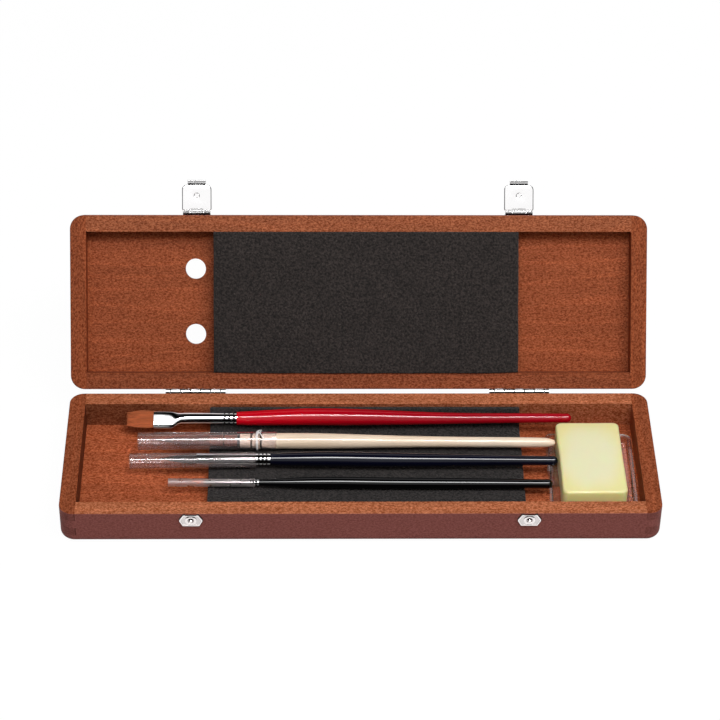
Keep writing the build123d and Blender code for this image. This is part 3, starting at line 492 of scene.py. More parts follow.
def clear(name, tint, rough, through, gloss=0.5):
    """Clear plastic with faint drawing lines and a trace of haze."""
    f = Finish(name)
    here = f.place()
    f.set(Base_Color=f.mix(f.vary(f.streaks(here, 20, 700, 2)), tint, scaled(tint, 0.96)))
    f.set(Roughness=f.vary(f.noise(here, 300, 2), rough * 0.6, rough * 1.4))
    f.set(Transmission_Weight=through, IOR=1.46, Specular_IOR_Level=gloss)
    return f.material


def wound(name, tint, metal, rough):
    """Wire or thread wound round a brush, and the black ring."""
    f = Finish(name)
    twist = f.noise(f.stretch(f.place(), (1, 1, 3)), 3000, 2)
    f.set(Base_Color=f.shaded(tint, f.vary(twist, 0.75, 1.15)), Metallic=metal)
    f.set(Roughness=f.vary(twist, rough * 0.8, rough * 1.2))
    f.bump(twist, 0.3, 0.0001)
    return f.material


def waxy(name, middle, edge, centre, half):
    """Soap: pale and smooth in the middle of its face, yellower towards its edges as painted light, for the
    glow through its edges.
    """
    f = Finish(name)
    here = f.place(location=centre)
    shares = [f.maths("DIVIDE", f.size(part), reach) for part, reach in zip(f.parts(here), half)]
    rim = f.plus(*(f.maths("POWER", share, 3.0) for share in shares))
    cloud = f.noise(here, 70, 3, 0.5, 0.5)
    # Painted light: the edges take the yellower edge colour, for light glowing through them.
    amount = f.span(f.plus(rim, f.times(cloud, 0.5)), 0.3, 1.35)
    f.set(Base_Color=f.mix(amount, middle, edge), Roughness=f.vary(cloud, 0.34, 0.5))
    f.bump(f.plus(f.noise(here, 160, 2), f.times(f.noise(here, 900, 2), 0.2)), 0.15, 0.0005)
    f.set(Subsurface_Weight=1.0, Subsurface_Radius=(0.4, 0.5, 0.4), Subsurface_Scale=0.006)
    f.set(Coat_Weight=0.35, Coat_Roughness=0.12, Specular_IOR_Level=0.2)
    return f.material



# ------------------------------------------------------------------ shapes
def piece(name, bm, body, material, node, place=MM, crease=35):
    """Turn a finished bmesh, in millimetres, into a piece that rides on a body and stands for a node."""
    bm.transform(place)
    bm.normal_update()
    for face in bm.faces:
        face.smooth = True
    for edge in bm.edges:
        edge.smooth = len(edge.link_faces) != 2 or edge.calc_face_angle(0) < radians(crease)
    mesh = bpy.data.meshes.new(name)
    bm.to_mesh(mesh)
    bm.free()
    made = bpy.data.objects.new(name, mesh)
    made.data.materials.append(material)
    bpy.context.scene.collection.objects.link(made)
    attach(made, body)
    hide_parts(node)
    return made


def dress(material, *nodes):
    """Give solids of the frame a finish."""
    for name in nodes:
        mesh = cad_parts[name].data
        mesh.materials.clear()
        mesh.materials.append(material)
        for polygon in mesh.polygons:
            polygon.material_index = 0


def merge(bm, other):
    """Add another bmesh to this one and free it."""
    mesh = bpy.data.meshes.new("part")
    other.to_mesh(mesh)
    other.free()
    bm.from_mesh(mesh)
    bpy.data.meshes.remove(mesh)


def box(bm, size, centre=(0, 0, 0)):
    """A plain box."""
    verts = bmesh.ops.create_cube(bm, size=1.0)["verts"]
    bmesh.ops.scale(bm, vec=size, verts=verts)
    move(bm, centre, verts)


def move(bm, step, verts=None):
    """Shift vertices."""
    bmesh.ops.translate(bm, vec=step, verts=verts or bm.verts)


def outward(bm):
    """Make every face look out."""
    bmesh.ops.recalc_face_normals(bm, faces=bm.faces)


def bevel(bm, geom, offset, segments, affect="EDGES"):
    """Round edges or corners."""
    bmesh.ops.bevel(
        bm, geom=geom, offset=offset, segments=segments, profile=0.5, affect=affect, material=-1,
    )


def turn(bm, angle, axis, centre=(0, 0, 0), verts=None):
    """Turn vertices about a line through centre."""
    bmesh.ops.rotate(bm, verts=verts or bm.verts, cent=centre, matrix=Matrix.Rotation(angle, 3, axis))


def new_verts(made):
    """The vertices that an operator made."""
    return [g for g in made["geom"] if isinstance(g, bmesh.types.BMVert)]


def prism(outline, start, reach):
    """A bar along X from an outline of Y and Z."""
    bm = bmesh.new()
    face = bm.faces.new([bm.verts.new((start, y, z)) for y, z in outline])
    made = bmesh.ops.extrude_face_region(bm, geom=[face])
    move(bm, (reach, 0, 0), new_verts(made))
    return bm


def edges_along(bm, axis):
    """Edges that run along an axis."""
    return [e for e in bm.edges if abs(e.verts[0].co[axis] - e.verts[1].co[axis]) > 1]


def sharp_edges(bm, keep):
    """Sharp edges whose two ends both pass a test of their place."""
    return [e for e in bm.edges if e.calc_face_angle(0) > 1 and all(keep(v.co) for v in e.verts)]


def ring_edges(bm, verts):
    """The edges between the given vertices."""
    inside = set(verts)
    return [e for e in bm.edges if e.verts[0] in inside and e.verts[1] in inside]


def skin(bm, rings):
    """Join rings of edges into a closed skin."""
    for first, second in zip(rings, rings[1:]):
        bmesh.ops.bridge_loops(bm, edges=first + second)
    for ring in (rings[0], rings[-1]):
        bmesh.ops.contextual_create(bm, geom=ring)


def spin_line(stations, closed=False, steps=48):
    """A solid of revolution about X from stations of length and radius."""
    bm = bmesh.new()
    line = [bm.verts.new((x, 0, r)) for x, r in stations]
    pairs = list(zip(line, line[1:]))
    if closed:
        pairs.append((line[-1], line[0]))
    edges = [bm.edges.new(pair) for pair in pairs]
    bmesh.ops.spin(
        bm, geom=line + edges, cent=(0, 0, 0), axis=(1, 0, 0), angle=2 * pi, steps=steps,
        use_merge=True, use_normal_flip=False, use_duplicate=False,
    )
    bmesh.ops.remove_doubles(bm, verts=bm.verts, dist=1e-4)
    outward(bm)
    return bm


def eased(knots, slopes, steps=8):
    """Points on the smooth line through knots of length and radius, with a slope at each."""
    points = []
    for (x0, y0), (x1, y1), m0, m1 in zip(knots, knots[1:], slopes, slopes[1:]):
        span = x1 - x0
        for step in range(steps):
            t = step / steps
            a = (1 + 2 * t) * (1 - t) ** 2 * y0 + t * (1 - t) ** 2 * span * m0
            b = t * t * (3 - 2 * t) * y1 + t * t * (t - 1) * span * m1
            points.append((x0 + t * span, a + b))
    points.append(knots[-1])
    return points


def handle(knots, slopes, tail_steps=8, edge=(0.15, 0.2)):
    """A turned handle: a round tail up to the first knot, an eased line, and a cut shoulder."""
    tail_x, tail_r = knots[0]
    angles = [pi / 2 * k / tail_steps for k in range(tail_steps)]
    line = [(tail_x * (1 - cos(a)), tail_r * sin(a)) for a in angles] + eased(knots, slopes)
    shoulder_x, shoulder_r = knots[-1]
    return spin_line(line + [(shoulder_x + edge[0], shoulder_r - 0.2), (shoulder_x + edge[1], 0)])


def waisted_handle(waist, belly, shoulder, swell):
    """A handle with a waist and a belly, each given by its share of the length and its radius.

    swell raises the handle's line: where, how far along and by how much.
    """
    tail_r, neck = 2.15, 0.045
    at = shoulder[0]
    (waist_x, waist_r), (belly_x, belly_r) = ((share * at, radius) for share, radius in (waist, belly))
    first, second = waist_x - tail_r, belly_x - waist_x
    slope = 3 * ((waist_r - tail_r) / first**2 + (belly_r - waist_r) / second**2) / (2 / first + 2 / second)
    knots = [(tail_r, tail_r), (waist_x, waist_r), (belly_x, belly_r), shoulder]
    bm = handle(knots, [0, slope, 0, -neck])
    middle, reach, amount = swell
    for vert in bm.verts:
        vert.co.z += amount * exp(-(((vert.co.x - middle) / reach) ** 2))
    return bm


def plain_ferrule(at, grooves, reach, back_r, mouth_r, bore_r):
    """A tapered ferrule with grooves, open at the mouth."""
    stations = [(at, 0), (at, back_r - 0.2), (at + 0.03, back_r), (at + grooves[0] - 0.9, back_r)]
    for groove in grooves:
        for off, share in ((-0.55, 1.04), (-0.3, 0.96), (-0.12, 0.8), (0.12, 0.8), (0.3, 0.96), (0.55, 1.04)):
            stations.append((at + groove + off, back_r * share))
    stations += [
        (at + grooves[-1] + 1.2, back_r * 0.995), (at + reach - 0.1, mouth_r), (at + reach, mouth_r - 0.08),
        (at + reach, bore_r), (at + reach - 3, bore_r * 0.98), (at + reach - 3, 0),
    ]
    return spin_line(stations)


def oval_skin(stations, tilt):
    """A skin through oval rings: each station is length, width, thickness, sideways shift, squareness.

    Rings lean by up to the tilt, the more so the flatter they are.
    """
    bm = bmesh.new()
    rings = []
    for x, width, thick, shift, square in stations:
        verts = bmesh.ops.create_circle(bm, segments=48, radius=1.0)["verts"]
        lean = tilt * min(1.0, (width - thick) / 4)
        for vert in verts:
            c, s = vert.co.x, vert.co.y
            y = abs(c) ** (2 / square) * (1 if c > 0 else -1) * width / 2
            z = abs(s) ** (2 / square) * (1 if s > 0 else -1) * thick / 2
            vert.co = Vector((x, shift + y * cos(lean) + z * sin(lean), z * cos(lean) - y * sin(lean)))
        rings.append(ring_edges(bm, verts))
    skin(bm, rings)
    outward(bm)
    return bm


def coil(bm, x, radius, wire, turns, pitch, start=0.0):
    """A wire wound round the line of a brush."""
    steps_a_turn = 40
    centre = (x, 0, radius)
    ring = bmesh.ops.create_circle(bm, segments=8, radius=wire, matrix=Matrix.Translation(centre))["verts"]
    edges = ring_edges(bm, ring)
    turn(bm, pi / 2, "X", centre, ring)
    turn(bm, start, "X", (x, 0, 0), ring)
    steps = int(turns * steps_a_turn)
    made = bmesh.ops.spin(
        bm, geom=ring + edges, cent=(0, 0, 0), axis=(1, 0, 0), angle=2 * pi * turns, steps=steps,
        dvec=(pitch * turns / steps, 0, 0), use_merge=False, use_normal_flip=False, use_duplicate=False,
    )
    last = [g for g in made["geom_last"] if isinstance(g, bmesh.types.BMEdge)]
    for end in (last, [e for e in edges if e.is_valid and len(e.link_faces) < 2]):
        bmesh.ops.contextual_create(bm, geom=end)


def strand(bm, points, radius, steps=5):
    """A smooth thread through points."""
    line = []
    for k in range(len(points) - 1):
        before, first, second = points[max(0, k - 1)], points[k], points[k + 1]
        after = points[min(len(points) - 1, k + 2)]
        square = 2 * before - 5 * first + 4 * second - after
        cube = 3 * first - before - 3 * second + after
        for step in range(steps):
            t = step / steps
            line.append(0.5 * (2 * first + (second - before) * t + square * t**2 + cube * t**3))
    line.append(points[-1])
    rings = []
    for k, point in enumerate(line):
        ahead = line[min(k + 1, len(line) - 1)] - line[max(k - 1, 0)]
        place = Matrix.Translation(point) @ ahead.to_track_quat("Z", "Y").to_matrix().to_4x4()
        thin = 0.55 if k in (0, len(line) - 1) else 1.0
        ring = bmesh.ops.create_circle(bm, segments=8, radius=radius * thin, matrix=place)["verts"]
        rings.append(ring_edges(bm, ring))
    skin(bm, rings)


def bristle_pattern():
    """One bristle of unit length and radius, as a mesh."""
    bm = bmesh.new()
    rings = []
    for share in (0.0, 0.3, 0.55, 0.75, 0.9, 1.0):
        girth = 1.0 if share < 0.7 else max(0.12, 1.0 - (share - 0.7) / 0.32)
        place = Matrix.Translation((share, 0, 0)) @ Matrix.Rotation(pi / 2, 4, "Y")
        ring = bmesh.ops.create_circle(bm, segments=4, radius=girth, matrix=place)["verts"]
        rings.append(ring_edges(bm, ring))
    skin(bm, rings)
    outward(bm)
    mesh = bpy.data.meshes.new("bristle pattern")
    bm.to_mesh(mesh)
    bm.free()
    return mesh


def hair(start, reach, roots, spread, radius, seed):
    """A head of separate bristles.

    roots are pairs from -1 to 1, and spread gives the head's half sizes at a share of its length.
    """
    rng = random.Random(seed)
    pattern = bristle_pattern()
    bm = bmesh.new()
    for u, v in roots:
        before = len(bm.verts)
        bm.from_mesh(pattern)
        bm.verts.ensure_lookup_table()
        long = reach * rng.uniform(0.965, 1.0)
        sway = (rng.uniform(-0.5, 0.5) * radius, rng.uniform(-0.5, 0.5) * radius)
        for vert in bm.verts[before:]:
            share = vert.co.x
            half_w, half_t = spread(share)
            vert.co = Vector((
                start + share * long,
                u * half_w + vert.co.y * radius + sway[0] * share,
                v * half_t + vert.co.z * radius + sway[1] * share,
            ))
    bpy.data.meshes.remove(pattern)
    return bm


def pointed(radius, start, power, swell=0.0, quick=1.0, least=0.02):
    """Half sizes of a round head that swells a little and draws to a point beyond the share start."""
    def spread(share):
        full = radius + swell * sin(pi * min(1.0, share * quick))
        half = full * max(least, 1 - max(0.0, (share - start) / (1 - start)) ** power)
        return half, half

    return spread


def disc_roots(count):
    """Roots spread evenly over a disc."""
    golden_angle = 2.39996
    shares = [(sqrt((k + 0.5) / count), k * golden_angle) for k in range(count)]
    return [(r * cos(a), r * sin(a)) for r, a in shares]


def soften(verts, amount, scale, seed):
    """Shift vertices slightly in and out, as foam and soap are never quite even."""
    for vert in verts:
        vert.co += vert.normal * noise.noise(vert.co / scale + Vector((seed, 0, 0))) * amount


# ------------------------------------------------------------------ operators
class BRUSHBOX_OT_stage(bpy.types.Operator):
    """Camera, soft lights and a pale floor"""
    bl_idname = "brushbox.stage"
    bl_label = "Stage"

    def execute(self, context):
        sizes = settings()[1]
        context.scene.view_settings.view_transform = "Standard"
        self.camera(context.scene)
        self.lamp("key", sizes.key, size=(1.1, 0.42), rise=67.0, side=0.26, far=1.22)
        self.lamp("strip", sizes.strip, size=(1.5, 0.15), rise=68.0, side=0.1, far=1.15, gloss_only=True)
        self.world(context.scene, sizes.ambient)
        self.floor(context.scene)
        return {"FINISHED"}

    def camera(self, scene):
        """A long lens above the front, rolled slightly."""
        look = Vector((
            sin(CAMERA_YAW) * cos(CAMERA_PITCH), cos(CAMERA_YAW) * cos(CAMERA_PITCH), -sin(CAMERA_PITCH),
        ))
        right = Vector((cos(CAMERA_YAW), -sin(CAMERA_YAW), 0))
        up = right.cross(look)
        rolled_right = cos(CAMERA_ROLL) * right + sin(CAMERA_ROLL) * up
        rolled_up = -sin(CAMERA_ROLL) * right + cos(CAMERA_ROLL) * up
        turned = Matrix((rolled_right, rolled_up, -look)).transposed().to_4x4()
        data = bpy.data.cameras.new("camera")
        data.sensor_width = SENSOR
        data.lens = FOCAL_PIXELS / PICTURE_PIXELS * SENSOR
        data.clip_start, data.clip_end = 0.05, 20
        camera = bpy.data.objects.new("camera", data)
        scene.collection.objects.link(camera)
        camera.matrix_world = Matrix.Translation(CAMERA_AT) @ turned
        scene.camera = camera

    def lamp(self, name, power, size, rise, side, far, gloss_only=False):
        """A soft rectangular light at a rise above the front, in degrees, that looks at the box."""
        data = bpy.data.lights.new(name, "AREA")
        data.shape = "RECTANGLE"
        data.size, data.size_y = size
        data.energy = power
        made = bpy.data.objects.new(name, data)
        made.location = LAMP_AIM + Vector((side, -far * cos(radians(rise)), far * sin(radians(rise))))
        made.rotation_euler = (LAMP_AIM - made.location).to_track_quat("-Z", "Y").to_euler()
        made.visible_diffuse = not gloss_only
        bpy.context.scene.collection.objects.link(made)

    def world(self, scene, fill_strength):
        """White backdrop for the camera, in gloss and through clear plastic, and soft fill elsewhere.

        Gloss shows the white backdrop behind and a white card above the front, with the dark of the
        room between them and to the sides, which draws the dark lines on polished metal.
        """
        scene.world = bpy.data.worlds.new("studio")
        scene.world.use_nodes = True
        f = Nodes(scene.world.node_tree)
        way = f.add("ShaderNodeTexCoord").outputs["Generated"]
        rise = f.rise(way)
        card = f.times(f.span(rise, radians(-2), radians(22)), f.fall(rise, radians(78), radians(84)))
        behind = f.most(f.span(rise, radians(117), radians(122)), f.fall(rise, radians(-12), radians(-4)))
        level = f.span(f.most(card, behind), 0.0, 1.0, 0.02, 1.05)
        level = f.times(level, f.span(f.size(f.parts(way)[0]), 0.42, 0.58, 1.0, 0.1))
        level = f.most(level, f.rays("Camera"))
        seen = f.add("ShaderNodeBackground", {"Color": (1, 1, 1), "Strength": level})
        fill = f.add("ShaderNodeBackground", {"Color": (0.97, 0.98, 1), "Strength": fill_strength})
        shown = f.rays("Camera", "Glossy", "Transmission")
        mix = f.add("ShaderNodeMixShader", {0: shown, 1: fill.outputs[0], 2: seen.outputs[0]})
        f.add("ShaderNodeOutputWorld", {"Surface": mix.outputs[0]})

    def floor(self, scene):
        """A wide pale floor that shows white and keeps a soft shadow."""
        bm = bmesh.new()
        bmesh.ops.create_grid(bm, x_segments=1, y_segments=1, size=4.0)
        mesh = bpy.data.meshes.new("floor")
        bm.to_mesh(mesh)
        bm.free()
        made = bpy.data.objects.new("floor", mesh)
        made.location = (0, 0, -0.0004)
        scene.collection.objects.link(made)
        material = bpy.data.materials.new("floor")
        material.use_nodes = True
        f = Nodes(material.node_tree)
        shade = f.mix(f.rays("Camera"), (0.4, 0.4, 0.4), (0.95, 0.95, 0.95))
        paper = f.add("ShaderNodeBsdfDiffuse", {"Color": shade})
        near = f.span(f.parts(f.place())[1], -0.5, -0.2, 0.12, 1.0)
        near = f.times(f.most(near, f.rays("Camera", "Transmission")), 1.015)
        glow = f.add("ShaderNodeEmission", {"Strength": near})
        seen = f.times(f.rays("Camera", "Glossy", "Transmission"), 0.96)
        mix = f.add("ShaderNodeMixShader", {0: seen, 1: paper.outputs[0], 2: glow.outputs[0]})
        f.add("ShaderNodeOutputMaterial", {"Surface": mix.outputs[0]})
        mesh.materials.append(material)


class BRUSHBOX_OT_case(bpy.types.Operator):
    """Stained boards and panels of the case"""
    bl_idname = "brushbox.case"
    bl_label = "Case"

    def execute(self, context):
        c = settings()[0]
        outside = tint(c.outside)
        boards = (
            ("base", "front", c.rim, 0.2), ("base", "back", c.rim, 0.51),
            ("base", "left", c.side, 1.2), ("base", "right", c.side, 1.47),
            ("lid", "front", c.lid_top, 0.9), ("lid", "back", c.lid_low, 1.21),
            ("lid", "left", c.lid_side, 1.7), ("lid", "right", c.lid_side, 1.97),
        )
        for part, side, tone, seed in boards:
            across = side in ("left", "right")
            board = wood(f"{part} {side} wall", tint(tone), outside, part, across, seed)
            dress(board, f"{part}_{side}_wall")
        dress(wood("floor", tint(c.floor), outside, "base", seed=2.3, inside=1), "base_floor_panel")
        dress(wood("top", tint(c.panel), outside, "lid", seed=3.1, inside=-1), "lid_top_panel")
        return {"FINISHED"}


class BRUSHBOX_OT_hardware(bpy.types.Operator):
    """Nickel plate on hinges, latches, catches, pins and nails"""
    bl_idname = "brushbox.hardware"
    bl_label = "Hinges and latches"

    def execute(self, context):
        nickel = tint(settings()[0].nickel)
        small = ("hinge_base_nails", "hinge_lid_nails", "latch_nails", "latch_left_pin", "latch_right_pin")
        dress(plated("nickel plate", nickel), *small)
        dress(plated("hinge pins", scaled(nickel, 0.1), rough=0.3), "hinge_left_pin", "hinge_right_pin")
        # Painted shade and dark reflection on the latch plates, on all but their upward faces.
        dress(plated("latch plate", nickel, 0.2, ((-95, 68, 0.04),)), "latch_left_plate", "latch_right_plate")
        # Painted shade and dark reflection along the hinge knuckles, on their lower and upper sides.
        shadows = ((-95, 33, 0.05), (82, 180, 0.1))
        warm = scaled(nickel, 1.0, 0.95, 0.94)
        for side in ("left", "right"):
            knuckle_gap_shade = self.knuckle_ends(mm(HINGE_X[side]))
            knuckles = plated(f"{side} hinge plate", nickel, 0.3, shadows, knuckle_gap_shade)
            dress(knuckles, f"hinge_{side}_base_leaf", f"hinge_{side}_lid_leaf")
            catch_shade = self.pressed(mm(HASP_X[side]))
            dress(plated(f"{side} catch plate", warm, 0.16, (), catch_shade), f"catch_{side}")
        return {"FINISHED"}

    def knuckle_ends(self, middle):
        """Painted shade between the knuckles of the hinge at middle, where they meet."""
        def marks(f, x, y, z):
            along = f.maths("DIVIDE", f.minus(x, middle), mm(HINGE_LENGTH) / KNUCKLES)
            share = f.maths("FRACT", f.plus(along, 20.0))
            return f.span(f.size(f.minus(share, 0.5)), 0.05, 0.1, 0.03, 1.0)

        return marks

    def pressed(self, middle):
        """Painted reflection and shade on the catch at middle: bright rim and stud, a duller field as painted
        reflection, and painted shade at outward edges, around the stud's recess and in the fold.
        """
        level, front = mm(STUD_Z), mm(-CASE_D / 2)

        def marks(f, x, y, z):
            nx, _, nz = f.parts(f.facing())
            dx, dz = f.minus(x, middle), f.minus(z, level)
            reach = f.reach(dx, dz)
            outward = f.plus(f.times(dx, nx), f.times(dz, nz))
            # The field is dulled as painted reflection; rim, well and fold paint shade.
            field = f.span(y, front - 0.00066, front - 0.00056, 1.0, 0.76)
            rim = f.span(outward, 0.0011, 0.0017, 1.0, 0.06)
            well = f.times(
                f.within(reach, 0.00085, 0.00145, 0.0001), f.span(dz, -0.0004, 0.0003, 0.25, 1.0),
                f.span(y, front - 0.0009, front - 0.0007),
            )
            fold = f.times(f.within(reach, 0.0021, 0.00265, 0.0002), f.span(dz, 0.0012, 0.002))
            return f.times(field, rim, f.dim(well, 0.03), f.dim(fold, 0.25))

        return marks


class BRUSHBOX_OT_hasps(bpy.types.Operator):
    """Swinging hasps, pressed from sheet with rolled edges"""
    bl_idname = "brushbox.hasps"
    bl_label = "Hasps"

    def execute(self, context):
        nickel = tint(settings()[0].nickel)
        for side, x in HASP_X.items():
            metal = plated(f"{side} hasp plate", nickel, 0.1, (), self.edges(mm(x)))
            axis = Vector((x, HASP_AXIS_Y, HASP_AXIS_Z))
            quarter = Matrix.Rotation(radians(-90), 4, "X")
            place = MM @ OPEN_LID @ Matrix.Translation(axis) @ quarter @ Matrix.Translation(-axis)
            who = f"{side}_hasp"
            piece(who, self.hasp(x), who, metal, f"latch_{side}_hasp", place, 40)
        return {"FINISHED"}

    def edges(self, middle):
        """Painted shade on the hasp at middle: grey edge, root and lip and dark bend and barrel, where the
        rolled and bent sheet lies in shade.
        """
        axis = MM @ OPEN_LID @ Vector((0, HASP_AXIS_Y, HASP_AXIS_Z))
        reach = OPEN_LID.to_3x3() @ Vector((0, -1, 0))

        def marks(f, x, y, z):
            dx = f.size(f.minus(x, middle))
            out = f.plus(f.times(f.minus(y, axis.y), reach.y), f.times(f.minus(z, axis.z), reach.z))
            beside = f.most(f.minus(dx, mm(HASP_W / 2 - HASP_CORNER)), 0.0)
            beyond = f.most(f.minus(out, mm(HASP_REACH - HASP_CORNER)), 0.0)
            off = f.reach(beside, beyond)
            # Painted shade at the rolled edges, the corners, the bend, the root and the barrel.
            edge = f.span(off, 0.0018, 0.002, 1.0, 0.42)
            corner = f.span(f.maths("MINIMUM", beside, beyond), 0.0002, 0.0007)
            corner = f.times(corner, f.span(off, 0.0018, 0.002))
            bend = f.times(f.within(out, 0.0131, 0.014, 0.0001), f.fall(dx, 0.0042, 0.0043))
            root = f.within(out, 0.0011, 0.0016, 0.0001)
            barrel = f.span(out, 0.0003, 0.0005, 0.07, 1.0)
            return f.times(edge, f.dim(corner, 0.08), f.dim(bend, 0.14), f.dim(root, 0.5), barrel)

        return marks

    def plate(self, x, outer, root, end):
        """The flat of a hasp: rounded corners, a hole for the stud, and edges rolled to the front."""
        high, middle = root - end, (root + end) / 2
        bm = bmesh.new()
        bmesh.ops.create_grid(bm, x_segments=1, y_segments=1, size=0.5)
        bmesh.ops.scale(bm, vec=(HASP_W, high, 1), verts=bm.verts)
        bevel(bm, [v for v in bm.verts if v.co.y < 0], HASP_CORNER, 8, "VERTICES")
        bevel(bm, [v for v in bm.verts if v.co.y > high / 2 - 0.01], 0.8, 2, "VERTICES")
        bmesh.ops.delete(bm, geom=bm.faces[:], context="FACES_ONLY")
        hole = Matrix.Translation((0, STUD_Z - middle, 0))
        bmesh.ops.create_circle(bm, segments=24, radius=STUD_R, matrix=hole)
        bmesh.ops.triangle_fill(bm, edges=bm.edges[:], use_beauty=True, normal=(0, 0, 1))
        turn(bm, pi / 2, "X")
        move(bm, (x, outer, middle))
        outward(bm)
        if bm.faces[0].normal.y < 0:
            bmesh.ops.reverse_faces(bm, faces=bm.faces)
        made = bmesh.ops.extrude_face_region(bm, geom=bm.faces[:], use_keep_orig=True)
        near = [g for g in made["geom"] if isinstance(g, bmesh.types.BMFace)]
        rolls = ((0.07, 0.18), (0.16, 0.132), (0.26, 0.048))
        rise = sum(depth for step, depth in rolls)
        move(bm, (0, SHEET - rise, 0), new_verts(made))
        for step, depth in rolls:
            bmesh.ops.inset_region(
                bm, faces=near, thickness=step, depth=depth, use_boundary=True, use_even_offset=True,
            )
        return bm

    def hasp(self, x):
        """One hasp, made hanging over its catch: plate, hollow boss, turned lip, barrel and neck."""
        outer = HASP_AXIS_Y - BARREL
        inner = outer + SHEET
        root, end = HASP_AXIS_Z - BARREL - 0.15, HASP_AXIS_Z - HASP_REACH
        bm = self.plate(x, outer, root, end)
        dish = [(0.45, 0), (0.45, STUD_R), (0, STUD_R), (0, 1.6), (0.7, 1.27), (0.7, 0)]
        boss = spin_line(dish, steps=24)
        turn(boss, -pi / 2, "Z")
        move(boss, (x, outer + 0.05, STUD_Z))
        merge(bm, boss)
        bend = [
            (inner - 0.02, end + 0.7), (inner - 0.02, end + 0.1), (inner - 0.75, end - 0.85),
            (inner - 0.5, end - 2.2), (outer - 0.5, end - 2.28), (outer - 0.75, end - 0.95),
            (outer + 0.02, end), (outer + 0.02, end + 0.7),
        ]
        lip = prism(bend, x - 4.25, 8.5)
        bevel(lip, [e for e in edges_along(lip, 0) if 0.2 < e.calc_face_angle(0) < 1.7], 0.12, 3)
        merge(bm, lip)
        half = 3.2
        line = [(x - half, BARREL), (x + half, BARREL), (x + half, 0.48), (x - half, 0.48)]
        roll = spin_line(line, closed=True, steps=32)
        move(roll, (0, HASP_AXIS_Y, HASP_AXIS_Z))
        merge(bm, roll)
        box(bm, (2 * half, SHEET, 2.2), (x, outer + SHEET / 2, HASP_AXIS_Z - 1.1))
        outward(bm)
        return bm


class BRUSHBOX_OT_base_foam(bpy.types.Operator):
    """Foam pad in the base, turned up along the back wall"""
    bl_idname = "brushbox.base_foam"
    bl_label = "Base foam"

    def execute(self, context):
        c, s = settings()
        x0, x1 = -INNER_X + 58.1, INNER_X - 52.7
        back, front = INNER_Y - 0.2, -INNER_Y + 0.2
        upturn = back - 2.0
        curve = [(0.05, 6.2), (0.35, 4.9), (1.3, 3.6), (3.6, 1.6), (5.2, 0.5), (6.8, 0.06)]
        curve += [(9.0 + 6.0 * k, 0) for k in range(9)]
        outline = [
            (back, FLOOR_TOP), (back, BASE_H - 1.7), (back - 0.3, BASE_H - 1.5), (upturn + 0.3, BASE_H - 1.5),
            (upturn, BASE_H - 1.9), *((upturn - ahead, FOAM_TOP + above) for ahead, above in curve),
            (front + 0.5, FOAM_TOP), (front, FOAM_TOP - 0.5), (front, FLOOR_TOP),
        ]
        bm = prism(outline, x0, x1 - x0)
        bmesh.ops.subdivide_edges(bm, edges=edges_along(bm, 0), cuts=47, use_grid_fill=True)
        bevel(bm, sharp_edges(bm, lambda co: min(abs(co.x - x0), abs(co.x - x1)) < 0.01), 0.5, 2)
        outward(bm)
        bm.normal_update()
        free = [v for v in bm.verts if v.co.z >= FLOOR_TOP + 0.1 and v.co.y <= back - 0.35]
        soften(free, s.foam_wave * 1000, scale=13.0, seed=3.0)
        finish = foam("base foam", tint(c.foam_low))
        piece("base_foam", bm, "base", finish, "base_foam_pad", crease=50)
        return {"FINISHED"}


class BRUSHBOX_OT_lid_foam(bpy.types.Operator):
    """Thick foam pad in the lid, which presses down on the brushes"""
    bl_idname = "brushbox.lid_foam"
    bl_label = "Lid foam"

    def execute(self, context):
        c, s = settings()
        x0, x1 = -INNER_X + 59.6, INNER_X - 52.9
        middle, half_w, half_d = (x0 + x1) / 2, (x1 - x0) / 2, INNER_Y - 0.2
        thick = s.lid_foam * 1000
        lower = LID_PANEL - thick
        bm = bmesh.new()
        bmesh.ops.create_grid(bm, x_segments=56, y_segments=26, size=1.0)
        bmesh.ops.scale(bm, vec=(half_w, half_d, 1), verts=bm.verts)
        move(bm, (middle, 0, LID_PANEL))
        sheet = bmesh.ops.extrude_face_region(bm, geom=bm.faces[:])
        move(bm, (0, 0, -thick), new_verts(sheet))
        outward(bm)
        bmesh.ops.subdivide_edges(bm, edges=edges_along(bm, 2), cuts=5, use_grid_fill=True)
        bevel(bm, sharp_edges(bm, lambda co: abs(co.z - lower) < 0.01), s.foam_round * 1000, 3)
        loose = []
        for vert in bm.verts:
            depth = (LID_PANEL - vert.co.z) / thick
            u, v = (vert.co.x - middle) / half_w, vert.co.y / half_d
            bulge = max(0.0, (depth - 0.86) / 0.14) * (1 - u**8)
            if depth > 0.85:
                vert.co.z -= 0.35 * (1 - u**6) * (1 - v**4)
            if v > 0.9:
                vert.co.y += 0.9 * bulge
            if v < -0.9:
                vert.co.y -= 0.25 * bulge
            if depth > 0.86:
                loose.append(vert)
        bm.normal_update()
        soften(loose, s.foam_wave * 1000, scale=11.0, seed=7.0)
        place = MM @ OPEN_LID
        made = piece("lid_foam", bm, "lid", foam("lid foam", tint(c.foam)), "lid_foam_pad", place, 50)
        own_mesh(made)
        return {"FINISHED"}


def brush_piece(who, what, bm, finish, place, crease=35):
    """A piece of a brush, which stands for the solid of the same name."""
    piece(f"{who}_{what}", bm, f"{who}_brush", finish, f"{who}_brush_{what}", place, crease)


def lacquered(who, bm, place, paint, deep, tail=None):
    """A handle in the paint of that name."""
    finish = lacquer(f"{paint} lacquer", tint(getattr(settings()[0], paint)), deep, tail)
    brush_piece(who, "handle", bm, finish, place)


def ferrule(who, bm, place, rough, marks):
    """A plated ferrule, with painted dark reflections and painted shade."""
    plate = tint(settings()[0].ferrule)
    metal = plated(f"{who} ferrule plate", plate, rough, FERRULE_PAINTED_DARK_BANDS, marks, FERRULE_BRIGHT)
    brush_piece(who, "ferrule", bm, metal, place, 40)


